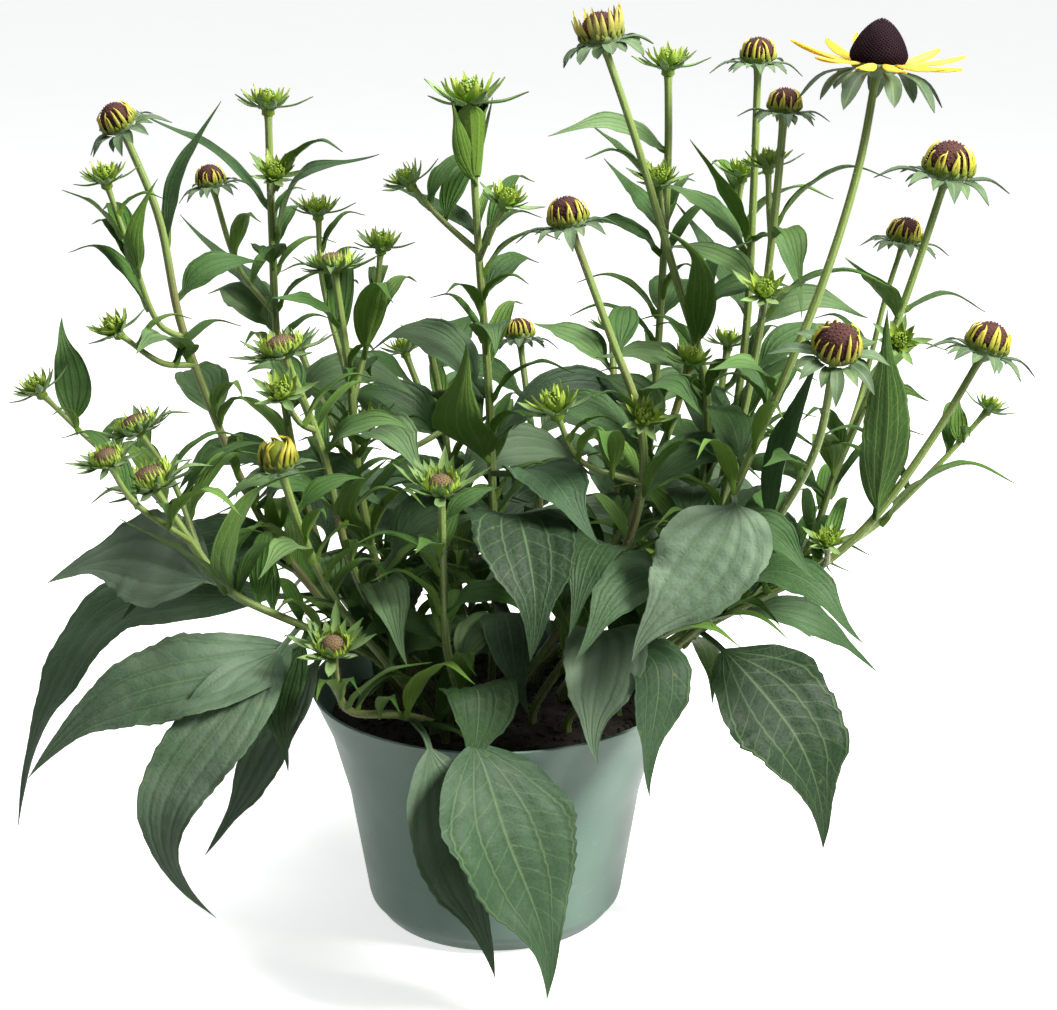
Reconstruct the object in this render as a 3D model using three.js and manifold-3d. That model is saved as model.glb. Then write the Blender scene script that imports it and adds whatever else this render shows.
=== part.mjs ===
// A potted black-eyed susan: a flared pot of soil, a clump of leafy shoots, one open bloom and many buds.
// Millimetres, +Z up. The origin is the middle of the pot's base, and the front faces -Y.
import * as THREE from "three";
import { mergeVertices } from "three/addons/utils/BufferGeometryUtils.js";
import Module from "manifold-3d";

const wasm = await Module();
wasm.setup();

// Driving dimensions
const POT_HEIGHT = 113;
const POT_WALL = 1.8;
const RIM_RADIUS = 86;
const BASE_RADIUS = 56;
const SOIL_BELOW_RIM = 14;
const ROOT_DEPTH = 28;
const STEM_RADIUS = 2.1;
const SIDE_STEM_RADIUS = 1.5;
const LEAF_THICKNESS = 1.2;
const STALK_THICKNESS = 1.8;
const PETAL_THICKNESS = 1.2;

// Clearances: where solids meet, and round a leaf that is bent clear of what stands near it
const SEAT_GAP = 0.3;
const LEAF_CLEARANCE = 0.4;
const LOWEST_LEAF = 5;

// Sizes worked out from those
const SOIL_TOP = POT_HEIGHT - SOIL_BELOW_RIM;
const SHOOT_START = SOIL_TOP - ROOT_DEPTH;
const HOLE_RADIUS = STEM_RADIUS + 1;

const UP = new THREE.Vector3(0, 0, 1);
const GOLDEN_ANGLE = 137.5;

// The front view that the shoots are laid out on, 1057 x 1010 points, and the eye that sees it
const VIEW = { midU: 528.5, midV: 505, focal: 2168, eyeX: 16, eyeY: -950, eyeZ: 494, tiltDeg: 17.25 };

// The place, in mm, of what shows at u, v in the front view and lies y mm behind the pot's axis.
function seen([u, v, y]) {
  const tilt = THREE.MathUtils.degToRad(VIEW.tiltDeg);
  const right = (u - VIEW.midU) / VIEW.focal;
  const up = (VIEW.midV - v) / VIEW.focal;
  const forward = Math.cos(tilt) + up * Math.sin(tilt);
  const rise = up * Math.cos(tilt) - Math.sin(tilt);
  const far = (y - VIEW.eyeY) / forward;
  return new THREE.Vector3(VIEW.eyeX + right * far, y, VIEW.eyeZ + rise * far);
}

// Each shoot stands at its foot, x and y in mm, and runs through the points of its via to its tip and head.
// A point in the view is [u, v, y]. Along a line, 0 to 2 are its points in and just over the soil, 3 is the
// first of via, and so on, so that 3.5 is halfway from there to the next. On a side shoot 0 is its root.
// A spiral gives its first and last place on the line, its count, and its lowest leaf's length and width.
const SHOOTS = [
  {
    name: "shoot_01", foot: [-30, -12],
    via: [[370, 655, -40], [300, 625, -62], [228, 590, -72], [200, 555, -75]],
    tip: [152, 485, -78], head: { kind: "young", name: "bud_01", size: 1.1 },
    leaves: [
      {
        at: 4, via: [[236, 706, -106], [186, 815, -124]], tip: [216, 918, -116], width: 34, stalk: 0.12, roll: -22,
      },
      { at: 3.7, via: [[225, 672, -92], [130, 702, -98]], tip: [28, 778, -96], width: 42, stalk: 0.12, roll: -30 },
      { at: 3.6, via: [[270, 745, -68]], tip: [205, 855, -72], width: 30, stalk: 0.12, roll: -20 },
      { at: 3.9, via: [[278, 715, -84]], tip: [288, 772, -88], width: 18, stalk: 0.1 },
      { at: 5.2, via: [[130, 560, -34]], tip: [47, 583, -24], width: 46, stalk: 0.1, roll: -46 },
      { at: 5, via: [[175, 548, -92]], tip: [113, 515, -100], width: 14 },
      { at: 5, via: [[226, 545, -100], [252, 492, -98]], tip: [330, 466, -84], width: 14 },
    ],
    spiral: { from: 2.8, to: 6.6, count: 3, long: 54, wide: 18 },
    sides: [
      {
        from: 6.2, via: [[132, 500, -96]], tip: [108, 462, -104],
        head: { kind: "young", name: "bud_02", size: 0.75 },
      },
      {
        from: 6, via: [[172, 480, -48]], tip: [138, 430, -48],
        head: { kind: "young", name: "bud_03", size: 0.95 },
      },
      {
        from: 5.8, via: [[150, 490, -22], [90, 440, -20]], tip: [40, 392, -20], head: { kind: "green" },
        leaves: [{ at: 2.3, via: [[62, 372, -16]], tip: [40, 320, -14], width: 16 }],
      },
    ],
  },
  {
    name: "shoot_02", foot: [-22, -42], via: [[400, 715, -64], [352, 712, -74], [338, 690, -86]],
    tip: [333, 650, -96],
    head: { kind: "star", name: "bud_04", size: 1.05, aim: [0.05, -0.42, 0.9] },
    leaves: [
      { at: 2.6, via: [[470, 738, -86], [510, 860, -114]], tip: [547, 1000, -126], width: 64, stalk: 0.27 },
      { at: 2.8, via: [[428, 742, -88], [452, 865, -100]], tip: [495, 978, -108], width: 38, stalk: 0.24 },
      { at: 2.4, via: [[476, 690, -74]], tip: [464, 775, -97], width: 34, stalk: 0.3 },
      { at: 4.4, via: [[385, 672, -92]], tip: [432, 662, -90], width: 8 },
      { at: 5.4, tip: [292, 577, -98], width: 13 },
    ],
  },
  {
    name: "shoot_03", foot: [-44, 2],
    via: [[330, 610, -8], [265, 525, -5], [212, 410, 0], [180, 320, 4], [158, 215, 8]], tip: [122, 128, 12],
    head: { kind: "bud", name: "bud_05", size: 0.95, aim: [-0.4, -0.25, 0.85] },
    leaves: [
      {
        at: 3.2, via: [[120, 612, -14], [60, 705, -30]], tip: [18, 825, -34], width: 34, stalk: 0.1, roll: -34,
      },
      { at: 6.7, via: [[176, 180, 20]], tip: [221, 101, 30], width: 10 },
    ],
    spiral: { from: 3.5, to: 6.2, count: 5, long: 83, wide: 30, start: 200 },
    sides: [
      {
        from: 5.8, via: [[160, 325, -5], [130, 250, -9]], tip: [106, 182, -10], head: { kind: "green" },
        leaves: [
          { at: 2.2, tip: [60, 157, -18], width: 9 },
          { at: 1.7, via: [[136, 232, -26]], tip: [158, 178, -24], width: 9 },
        ],
      },
      { from: 5.5, via: [[160, 362, -18]], tip: [117, 332, -24], head: { kind: "green" } },
    ],
  },
  {
    name: "shoot_04", foot: [-30, 22],
    via: [[345, 600, 30], [300, 480, 45], [278, 350, 55], [272, 230, 62]],
    tip: [268, 108, 66], head: { kind: "green", size: 1.2 },
    leaves: [
      { at: 6.2, via: [[215, 150, 72]], tip: [136, 110, 76], width: 13 },
      { at: 5.9, via: [[300, 176, 50]], tip: [379, 154, 36], width: 13, roll: 30 },
      { at: 5.35, via: [[226, 258, 92]], tip: [180, 214, 98], width: 12 },
    ],
    spiral: { from: 3.4, to: 5.7, count: 5, long: 85, wide: 32, start: 80 },
    sides: [
      { from: 6.3, tip: [275, 176, 44], head: { kind: "green" } },
      {
        from: 5.3, via: [[240, 270, 62]], tip: [212, 186, 60],
        head: { kind: "bud", name: "bud_06", size: 0.8 },
      },
    ],
  },
  {
    name: "shoot_05", foot: [-16, -2], via: [[390, 600, -12], [362, 500, -10], [350, 380, -4]],
    tip: [334, 268, 0],
    head: { kind: "young", name: "bud_07", size: 0.95 },
    leaves: [{ at: 3.5, via: [[338, 505, -44]], tip: [376, 458, -58], width: 12 }],
    spiral: { from: 3.3, to: 5.5, count: 5, long: 78, wide: 27, start: 30 },
    sides: [
      { from: 4.9, via: [[322, 280, 26]], tip: [318, 214, 30], head: { kind: "green" } },
      { from: 4.8, via: [[374, 310, 14]], tip: [381, 248, 16], head: { kind: "green" } },
    ],
  },
  {
    name: "shoot_06", foot: [-20, -18], via: [[392, 640, -28], [350, 560, -36], [322, 450, -42]],
    tip: [283, 352, -48],
    head: { kind: "young", name: "bud_08" },
    leaves: [{ at: 3.4, via: [[399, 615, -58]], tip: [390, 668, -74], width: 17, stalk: 0.16 }],
    spiral: { from: 3.5, to: 5.5, count: 5, long: 69, wide: 22, start: 290 },
    sides: [{ from: 5.2, tip: [283, 396, -68], head: { kind: "green" } }],
  },
  {
    name: "shoot_07", foot: [-28, -30], via: [[385, 660, -48], [335, 600, -60], [305, 540, -68]],
    tip: [280, 468, -74],
    head: { kind: "ball", name: "bud_09" },
    spiral: { from: 3.2, to: 5.4, count: 4, long: 65, wide: 19, start: 330 },
  },
  {
    name: "shoot_08", foot: [-10, -38], via: [[447, 650, -60], [443, 570, -70]], tip: [441, 490, -76],
    head: { kind: "star", name: "bud_10", size: 1.1, aim: [0.04, -0.3, 0.95] },
    spiral: { from: 2.7, to: 4.6, count: 6, long: 54, wide: 16, start: 60 },
  },
  {
    name: "shoot_09", foot: [-2, 8], via: [[495, 600, 8], [492, 480, 6], [488, 380, 4], [479, 260, 2]],
    tip: [470, 104, 0],
    head: { kind: "green", size: 1.5 },
    leaves: [
      { at: 3.6, via: [[520, 522, -72], [530, 590, -98]], tip: [530, 662, -108], width: 44, stalk: 0.42 },
      { at: 4.1, via: [[556, 474, -64]], tip: [600, 532, -88], width: 34, stalk: 0.36 },
      { at: 3, via: [[512, 634, -50]], tip: [530, 716, -78], width: 26, stalk: 0.3 },
      { at: 4.2, via: [[455, 420, -26]], tip: [466, 343, -30], width: 28, stalk: 0.1 },
      { at: 6.2, via: [[400, 205, 22]], tip: [350, 190, 30], width: 16 },
      { at: 6.5, via: [[460, 140, -9]], tip: [450, 97, -14], width: 12 },
      { at: 6.55, via: [[483, 138, 6]], tip: [492, 97, 8], width: 12 },
    ],
    spiral: { from: 4.4, to: 5.7, count: 4, long: 83, wide: 24, start: 0 },
    sides: [
      {
        from: 6.05, via: [[440, 218, 8]], tip: [410, 184, 12], head: { kind: "green" },
        leaves: [{ at: 1.5, tip: [403, 113, 18], width: 7 }],
      },
      {
        from: 6, via: [[490, 235, -10]], tip: [505, 204, -16], head: { kind: "green" },
        leaves: [{ at: 1.4, tip: [549, 166, -26], width: 8 }],
      },
    ],
  },
  {
    name: "shoot_10", foot: [-12, 32], via: [[455, 560, 42], [445, 430, 46]], tip: [428, 338, 46],
    head: { kind: "green" },
    spiral: { from: 2.8, to: 4.6, count: 6, long: 90, wide: 35, start: 100 },
    sides: [{ from: 4, via: [[400, 450, 34]], tip: [368, 426, 26], head: { kind: "green" } }],
  },
  {
    name: "shoot_11", foot: [18, -18],
    via: [[598, 610, -36], [640, 500, -46], [640, 420, -48], [612, 340, -46]],
    tip: [570, 226, -44], head: { kind: "bud", name: "bud_11" },
    leaves: [
      { at: 2.8, via: [[606, 640, -74]], tip: [598, 764, -96], width: 36, stalk: 0.28 },
      { at: 2.5, via: [[655, 662, -70]], tip: [650, 797, -94], width: 32, stalk: 0.3 },
    ],
    spiral: { from: 3.4, to: 5.8, count: 5, long: 78, wide: 24, start: 250 },
    sides: [
      { from: 4.2, via: [[580, 460, -52]], tip: [556, 412, -54], head: { kind: "green", size: 1.2 } },
      { from: 5, tip: [644, 420, -66], head: { kind: "green", size: 0.9 } },
    ],
  },
  {
    name: "shoot_12", foot: [32, 8],
    via: [[655, 600, 8], [698, 500, 6], [706, 390, 2], [672, 265, -2], [634, 135, -6]], tip: [603, 43, -8],
    head: { kind: "half", name: "bud_12" },
    leaves: [
      { at: 5, via: [[735, 360, -22]], tip: [776, 413, -36], width: 13 },
      { at: 5.35, via: [[694, 258, -36]], tip: [660, 226, -40], width: 14 },
      { at: 5.4, via: [[715, 262, 10]], tip: [752, 240, 16], width: 14 },
    ],
    spiral: { from: 3.3, to: 5.6, count: 5, long: 85, wide: 27, start: 150 },
  },
  {
    name: "shoot_13", foot: [20, 32], via: [[625, 580, 40], [650, 440, 46], [662, 280, 50], [668, 150, 52]],
    tip: [668, 68, 52], head: { kind: "green", size: 1.2 },
    leaves: [
      { at: 6, via: [[610, 122, 44]], tip: [548, 136, 40], width: 9 },
      { at: 5.6, via: [[625, 152, 60]], tip: [585, 118, 64], width: 11 },
      { at: 5.35, via: [[640, 198, 72]], tip: [604, 158, 80], width: 13 },
    ],
    spiral: { from: 3.3, to: 5.2, count: 5, long: 87, wide: 32, start: 20 },
    sides: [{ from: 5.4, tip: [659, 182, 34], head: { kind: "green" } }],
  },
  {
    name: "shoot_14", foot: [38, 26], via: [[684, 590, 34], [724, 470, 36], [745, 340, 34], [753, 200, 30]],
    tip: [758, 63, 26], head: { kind: "bud", name: "bud_13", size: 0.9 },
    leaves: [
      { at: 5.7, via: [[715, 175, 20]], tip: [690, 139, 14], width: 14 },
      { at: 5.75, via: [[780, 238, 14]], tip: [802, 318, 4], width: 12 },
      { at: 5.2, via: [[720, 268, 60]], tip: [674, 200, 66], width: 13 },
    ],
    spiral: { from: 3.4, to: 5.6, count: 5, long: 85, wide: 27, start: 300 },
    sides: [{ from: 5.6, via: [[738, 235, 44]], tip: [742, 176, 48], head: { kind: "green" } }],
  },
  {
    name: "shoot_15", foot: [42, -4],
    via: [[692, 600, -8], [730, 470, -14], [758, 340, -18], [774, 220, -18]],
    tip: [784, 113, -16], head: { kind: "bud", name: "bud_14", size: 0.85 },
    leaves: [{ at: 5.9, via: [[793, 240, -36]], tip: [801, 302, -44], width: 12 }],
    spiral: { from: 3.4, to: 5.4, count: 4, long: 81, wide: 24, start: 110 },
    sides: [
      { from: 5.8, tip: [768, 167, -6], head: { kind: "green" } },
      { from: 5.2, tip: [765, 294, -40], head: { kind: "green" } },
    ],
  },
  {
    name: "shoot_16", foot: [34, -28],
    via: [[668, 630, -42], [712, 540, -52], [768, 415, -56], [822, 285, -52], [858, 170, -46]],
    tip: [877, 71, -42],
    head: { kind: "bloom", name: "bloom", aim: [0.07, 0.03, 1] },
    leaves: [
      {
        at: 4.4, via: [[733, 512, -76], [697, 590, -98]], tip: [632, 662, -106], width: 48,
        stalk: 0.16, roll: -10,
      },
    ],
    spiral: { from: 3.3, to: 5.2, count: 4, long: 83, wide: 27, start: 170 },
  },
  {
    name: "shoot_17", foot: [54, 12],
    via: [[705, 620, 18], [795, 568, 24], [838, 465, 26], [870, 392, 26], [912, 280, 24]],
    tip: [946, 178, 22], head: { kind: "bud", name: "bud_15", size: 1.32 },
    leaves: [
      { at: 6.7, via: [[875, 282, 6]], tip: [845, 257, -6], width: 14 },
      { at: 6.75, via: [[950, 293, 30]], tip: [986, 312, 34], width: 6 },
    ],
    spiral: { from: 3.6, to: 5.8, count: 3, long: 65, wide: 19, start: 40 },
    sides: [
      {
        from: 5, via: [[860, 398, 42], [886, 296, 46]], tip: [903, 243, 48],
        head: { kind: "bud", name: "bud_16", size: 0.95 },
      },
      { from: 6.6, tip: [899, 342, 8], head: { kind: "green", size: 0.9 } },
    ],
  },
  {
    name: "shoot_18", foot: [48, -18], via: [[708, 618, -34], [770, 530, -60], [816, 448, -76]],
    tip: [835, 354, -86],
    head: { kind: "bud", name: "bud_17", size: 1.15, aim: [0.06, -0.5, 0.86] },
    leaves: [{ at: 3.9, via: [[785, 440, -54]], tip: [820, 350, -48], width: 22 }],
    spiral: { from: 3.3, to: 4.7, count: 3, long: 67, wide: 22, start: 320 },
  },
  {
    name: "shoot_19", foot: [58, -8],
    via: [[695, 634, -12], [748, 604, -20], [815, 570, -24], [868, 525, -26], [930, 442, -26]],
    tip: [984, 353, -24],
    head: { kind: "bud", name: "bud_18", size: 1.12 },
    leaves: [
      {
        at: 3.1, via: [[724, 650, -26], [790, 735, -50]], tip: [823, 850, -64], width: 56, stalk: 0.14,
        roll: 18,
      },
      { at: 3.9, via: [[815, 622, -2]], tip: [878, 672, 8], width: 20, stalk: 0.1, roll: 40 },
      { at: 3, via: [[706, 655, 20]], tip: [712, 706, 26], width: 14 },
      { at: 6.1, via: [[897, 430, -32]], tip: [902, 345, -38], width: 22 },
    ],
    sides: [
      {
        from: 5.6, via: [[880, 522, -6], [945, 458, 0]], tip: [988, 410, 4],
        head: { kind: "green", size: 0.8 },
        leaves: [{ at: 2.3, tip: [960, 396, 8], width: 8 }],
      },
      { from: 5.2, tip: [828, 543, -44], head: { kind: "green", size: 0.8 } },
    ],
  },
  {
    name: "shoot_20", foot: [8, -8], via: [[600, 570, -10], [665, 440, -20]], tip: [690, 363, -22],
    head: { kind: "green" },
    spiral: { from: 3.1, to: 4.6, count: 4, long: 74, wide: 24, start: 220 },
  },
  {
    name: "shoot_21", foot: [-42, 38], via: [[385, 560, 84]], tip: [300, 350, 118], head: { kind: "green" },
    spiral: { from: 2.3, to: 3.8, count: 7, long: 108, wide: 32, start: 130 },
  },
  {
    name: "shoot_22", foot: [-14, 54], via: [[470, 530, 96]], tip: [405, 352, 136], head: { kind: "green" },
    spiral: { from: 2.3, to: 3.8, count: 7, long: 108, wide: 32, start: 100 },
  },
  {
    name: "shoot_23", foot: [14, 58], via: [[540, 530, 98]], tip: [520, 340, 142],
    head: { kind: "bud", name: "bud_19", size: 0.9 },
    spiral: { from: 2.3, to: 3.7, count: 7, long: 108, wide: 32, start: 70 },
  },
  {
    name: "shoot_24", foot: [40, 48], via: [[615, 530, 90]], tip: [612, 330, 130], head: { kind: "green" },
    spiral: { from: 2.3, to: 3.8, count: 7, long: 104, wide: 32, start: 40 },
  },
  {
    name: "shoot_25", foot: [60, 28], via: [[690, 560, 66]], tip: [728, 345, 104], head: { kind: "green" },
    spiral: { from: 2.4, to: 3.8, count: 6, long: 96, wide: 31, start: 20 },
  },
];

// What each kind of head carries: the disc, its rays and its bracts, which dip below level or rise above it.
const HEADS = {
  bloom: { disc: 12.2, high: 18, bracts: { count: 9, long: 23, dipDeg: 48 } },
  half: { disc: 8.8, high: 10, ray: 12, lean: 1.6, bracts: { count: 9, long: 13, dipDeg: 38 } },
  bud: { disc: 7.8, high: 9.4, ray: 8.4, lean: -2, bracts: { count: 8, long: 14, dipDeg: 26 } },
  young: { disc: 6.4, high: 4, ray: 6.4, lean: 1.2, bracts: { count: 8, long: 15, dipDeg: -4 } },
  star: { disc: 4.4, high: 3, ray: 5.4, lean: 0.8, bracts: { count: 8, long: 15, dipDeg: -30 } },
  ball: { disc: 7.2, high: 10.4, bracts: { count: 7, long: 7, dipDeg: 20 } },
  green: { disc: 3.6, ray: 5.4, lean: -1, bracts: { count: 5, long: 11, dipDeg: -18 } },
};
const CUP_HEIGHT = 3;
const PETALS = {
  count: 12, long: 22.5, wide: 7.4, collar: 2.4, fold: -0.12, leastDipDeg: -22, mostDipDeg: 3,
  breadths: [[0, 0.34], [0.35, 0.85], [0.72, 1], [0.93, 0.6]],
};
const LIGHT_ROLL = 30;
const YOUNG_RAYS = 8;
const RAY_THICKNESS = 0.8;
const RAY_NOTCH = 0.3;
const STEM_SIDES = 4;
const STEM_STEP = 60;

// Lines

function lineThrough(points) {
  return new THREE.CatmullRomCurve3(points, false, "centripetal");
}

// The line of a shoot: straight up out of the soil at its foot, then through its points in the view.
function shootLine({ foot: [x, y], via, tip }) {
  const foot = [SHOOT_START, SOIL_TOP - 3, SOIL_TOP + 5].map((z) => new THREE.Vector3(x, y, z));
  return lineThrough([...foot, ...via.map(seen), seen(tip)]);
}

// The line of a side shoot, which sags a little where it has no points of its own.
function sideLine({ from, via = [], tip }, parent) {
  const root = onLine(parent, from);
  const end = seen(tip);
  const sag = root.clone().lerp(end, 0.5).addScaledVector(UP, -0.12 * root.distanceTo(end));
  return lineThrough([root, ...(via.length ? via.map(seen) : [sag]), end]);
}

// The point at a place on a line that is counted in its points.
function onLine(line, place) {
  return line.getPoint(place / (line.points.length - 1));
}

// A repeatable draw from 0 to 1 for a whole number.
function draw(n) {
  const a = Math.imul(n + 1, 0x9e3779b1);
  const b = Math.imul(a ^ (a >>> 15), 0x85ebca6b);
  return ((b ^ (b >>> 13)) >>> 0) / 4294967296;
}

// Leaves. A leaf has the points of its rib, its greatest width, its stalk's share of its length and its
// roll, which is how far it is turned about its rib, in degrees.

function leafOf(points, width, stalk = 0.05, roll = 0) {
  const rib = lineThrough(points);
  return { points, width, stalk, roll, rib, long: rib.getLength() };
}

function placedLeaf(line, { at, via = [], tip, width, stalk, roll }) {
  const root = onLine(line, at);
  const end = seen(tip);
  const arch = root.clone().lerp(end, 0.5).addScaledVector(UP, 0.1 * root.distanceTo(end));
  return leafOf([root, ...(via.length ? via.map(seen) : [arch]), end], width, stalk, roll);
}

// Leaves up a stem: each is turned on from the last by the golden angle. The low ones are longer and droop,
// and those that point to a side turn their faces to the front, where the light is.
function spiralLeaves(line, { from, to, count, long, wide, start = 0 }) {
  return Array.from({ length: count }, (_, k) => {
    const share = k / (count - 1);
    const size = long * (1 - 0.45 * share) * (0.9 + 0.2 * draw(k + start));
    const bearing = THREE.MathUtils.degToRad(start + GOLDEN_ANGLE * k);
    const out = new THREE.Vector3(Math.cos(bearing), Math.sin(bearing), 0);
    const root = onLine(line, THREE.MathUtils.lerp(from, to, share));
    const at = (far, high) => root.clone().addScaledVector(out, size * far).addScaledVector(UP, size * high);
    const droop = 0.38 * (1 - share) - 0.22 * draw(3 * k + start);
    const rib = [root, at(0.3, 0.24), at(0.62, 0.3 - 0.3 * droop), at(0.92, 0.2 - droop)];
    return leafOf(rib, wide * (size / long), 0.12, LIGHT_ROLL * out.x);
  });
}

// The leaf turned about its root and with its tip raised.
function bentLeaf(leaf, turnDeg, lift) {
  const turn = THREE.MathUtils.degToRad(turnDeg);
  const last = leaf.points.length - 1;
  const points = leaf.points.map((p, k) => p.clone().sub(leaf.points[0]).applyAxisAngle(UP, turn)
    .add(leaf.points[0]).addScaledVector(UP, (lift * k) / last));
  return leafOf(points, leaf.width, leaf.stalk, leaf.roll);
}

// The directions at a share of a leaf's length: across it, which is level but for its roll, and off it.
function ribFrame(leaf, share) {
  const along = leaf.rib.getTangentAt(share);
  const [root, first] = leaf.points;
  const heading = leaf.points.at(-1).clone().add(first).addScaledVector(root, -2).setZ(0).normalize();
  const across = new THREE.Vector3(heading.y, -heading.x, 0);
  across.addScaledVector(along, -across.dot(along)).normalize();
  across.applyAxisAngle(along, THREE.MathUtils.degToRad(leaf.roll));
  return { across, face: across.clone().cross(along) };
}

// A blade's breadth at a share of its length: widest below the middle, with a drawn-out tip.
function bladeBreadth(share) {
  return Math.sin(Math.PI * share ** 0.63) ** 1.15;
}

// Solids

// A three.js geometry as a solid.
function solidOf(geometry) {
  const { attributes, index } = mergedPoints(geometry, 1e-4);
  return new wasm.Manifold(new wasm.Mesh({
    numProp: 3,
    vertProperties: new Float32Array(attributes.position.array),
    triVerts: new Uint32Array(index.array),
  }));
}

// A geometry with nothing but its positions, each of which it holds once.
function mergedPoints(geometry, tolerance) {
  geometry.deleteAttribute("normal");
  geometry.deleteAttribute("uv");
  return mergeVertices(geometry, tolerance);
}

// A named mesh in its own material from a solid.
function meshOf(name, solid, material) {
  const { numProp, vertProperties, triVerts, numVert } = solid.getMesh();
  const points = new Float32Array(numVert * 3);
  for (let i = 0; i < numVert; i++) points.set(vertProperties.subarray(i * numProp, i * numProp + 3), i * 3);
  const geometry = new THREE.BufferGeometry();
  geometry.setAttribute("position", new THREE.BufferAttribute(points, 3));
  geometry.setIndex(new THREE.BufferAttribute(triVerts, 1));
  geometry.computeVertexNormals();
  const mesh = new THREE.Mesh(geometry, material);
  mesh.name = name;
  return mesh;
}

// A solid whose skin runs over rings of points, closed flat at its first ring and to a point past its last.
// Its quads are split alike on both sides of each even point, so that a blade's two faces match.
function skinned(rings, end) {
  const sides = rings[0].length;
  const faces = [];
  for (let a = 2; a < sides; a++) faces.push(0, a, a - 1);
  rings.forEach((_, i) => {
    const low = sides * i;
    const high = low + sides;
    for (let a = 0; a < sides; a++) {
      const b = (a + 1) % sides;
      if (i === rings.length - 1) faces.push(low + a, low + b, high);
      else if (a % 2) faces.push(low + a, low + b, high + b, low + a, high + b, high + a);
      else faces.push(low + a, low + b, high + a, low + b, high + b, high + a);
    }
  });
  const points = [...rings.flat(), end].flatMap((p) => p.toArray());
  const geometry = new THREE.BufferGeometry();
  geometry.setAttribute("position", new THREE.Float32BufferAttribute(points, 3));
  geometry.setIndex(faces);
  return solidOf(geometry);
}

// A blade's ring: its left edge, the ridge of its upper face, its right edge and the ridge underneath.
// The edges stand up off the middle by a share of the half width.
function bladeRing(centre, { across, face }, half, fold, thickness) {
  const point = (a, n) => centre.clone().addScaledVector(across, a).addScaledVector(face, n);
  const rise = fold * half;
  return [point(-half, rise), point(0, thickness / 2), point(half, rise), point(0, -thickness / 2)];
}

// Where a blade has its rings, as shares of its length, for leaves wider than so many mm.
const NARROW_LEAF = 18;
const BROAD_LEAF = 32;
const BLADE_STATIONS = [
  [BROAD_LEAF, [0.08, 0.25, 0.45, 0.66, 0.85]],
  [NARROW_LEAF, [0.16, 0.45, 0.76]],
  [0, [0.25, 0.65]],
];
const EDGE_WAVE = 0.035;
const BLADE_FOLD = 0.16;
const NARROW_FOLD = 0.04;

// A leaf: a stalk, then a blade. Broad ones have a waved edge, and narrow ones have three sides, not four.
// swell thickens it all round, and start leaves out its first stretch.
function leafSolid(leaf, swell = 0, start = 0) {
  const narrow = leaf.width <= NARROW_LEAF;
  const [least, blade] = BLADE_STATIONS.find(([least]) => leaf.width > least);
  const waved = least === BROAD_LEAF;
  const ring = (share, half, fold, thickness) => {
    const thick = thickness + 2 * swell;
    const points = bladeRing(leaf.rib.getPointAt(share), ribFrame(leaf, share), half + swell, fold, thick);
    return narrow ? [points[0], points[2], points[3]] : points;
  };
  const stalks = waved ? [start, Math.max(0.9 * leaf.stalk, start + 0.01)] : [start];
  const along = blade.map((u) => leaf.stalk + (1 - leaf.stalk) * u).filter((share) => share > start + 0.02);
  const rings = stalks.map((share) => ring(share, 1, narrow ? 0.6 : 0, STALK_THICKNESS));
  along.forEach((share, k) => {
    const wave = waved ? 1 + EDGE_WAVE * (k % 2 ? -1 : 1) : 1;
    const half = (leaf.width / 2) * wave * bladeBreadth((share - leaf.stalk) / (1 - leaf.stalk));
    if (narrow) rings.push(ring(share, half, NARROW_FOLD, 2 * LEAF_THICKNESS));
    else rings.push(ring(share, half, BLADE_FOLD, LEAF_THICKNESS));
  });
  return skinned(rings, leaf.points.at(-1).clone().addScaledVector(leaf.rib.getTangentAt(1), swell));
}

// A stem along a line, with a ring at each of the line's points and at most STEM_STEP between rings.
function stemSolid(line, radius) {
  const spans = line.points.length - 1;
  const places = line.points.slice(1).flatMap((p, k) => {
    const parts = Math.ceil(p.distanceTo(line.points[k]) / STEM_STEP);
    return Array.from({ length: parts }, (_, i) => (k + i / parts) / spans);
  });
  const side = new THREE.Vector3(1, 0, 0);
  const rings = [...places, 1].map((place) => {
    const along = line.getTangent(place);
    side.addScaledVector(along, -side.dot(along)).normalize();
    const front = along.clone().cross(side);
    return Array.from({ length: STEM_SIDES }, (_, k) => {
      const angle = (2 * Math.PI * k) / STEM_SIDES;
      const out = side.clone().multiplyScalar(Math.cos(angle)).addScaledVector(front, Math.sin(angle));
      return line.getPoint(place).addScaledVector(out, radius);
    });
  });
  return skinned(rings, line.getPoint(1).addScaledVector(line.getTangent(1), radius));
}

// A profile of [radius, height] points turned about +Z.
function turned(profile, segments) {
  const points = profile.map(([r, h]) => new THREE.Vector2(r, h));
  return new THREE.LatheGeometry(points, segments).rotateX(Math.PI / 2);
}

// Heads. A head is made round +Z with its stem ending at its origin, and then set on the stem's end.

// The place of a head: at the end of its line, facing along its aim, or else between its stem's way and up.
function headPlace({ aim, size = 1 }, line) {
  const upward = line.getTangent(1).multiplyScalar(0.6).addScaledVector(UP, 0.4);
  const facing = aim ? new THREE.Vector3(...aim) : upward;
  const turn = new THREE.Quaternion().setFromUnitVectors(UP, facing.normalize());
  return new THREE.Matrix4().compose(line.getPoint(1), turn, new THREE.Vector3(size, size, size));
}

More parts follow.
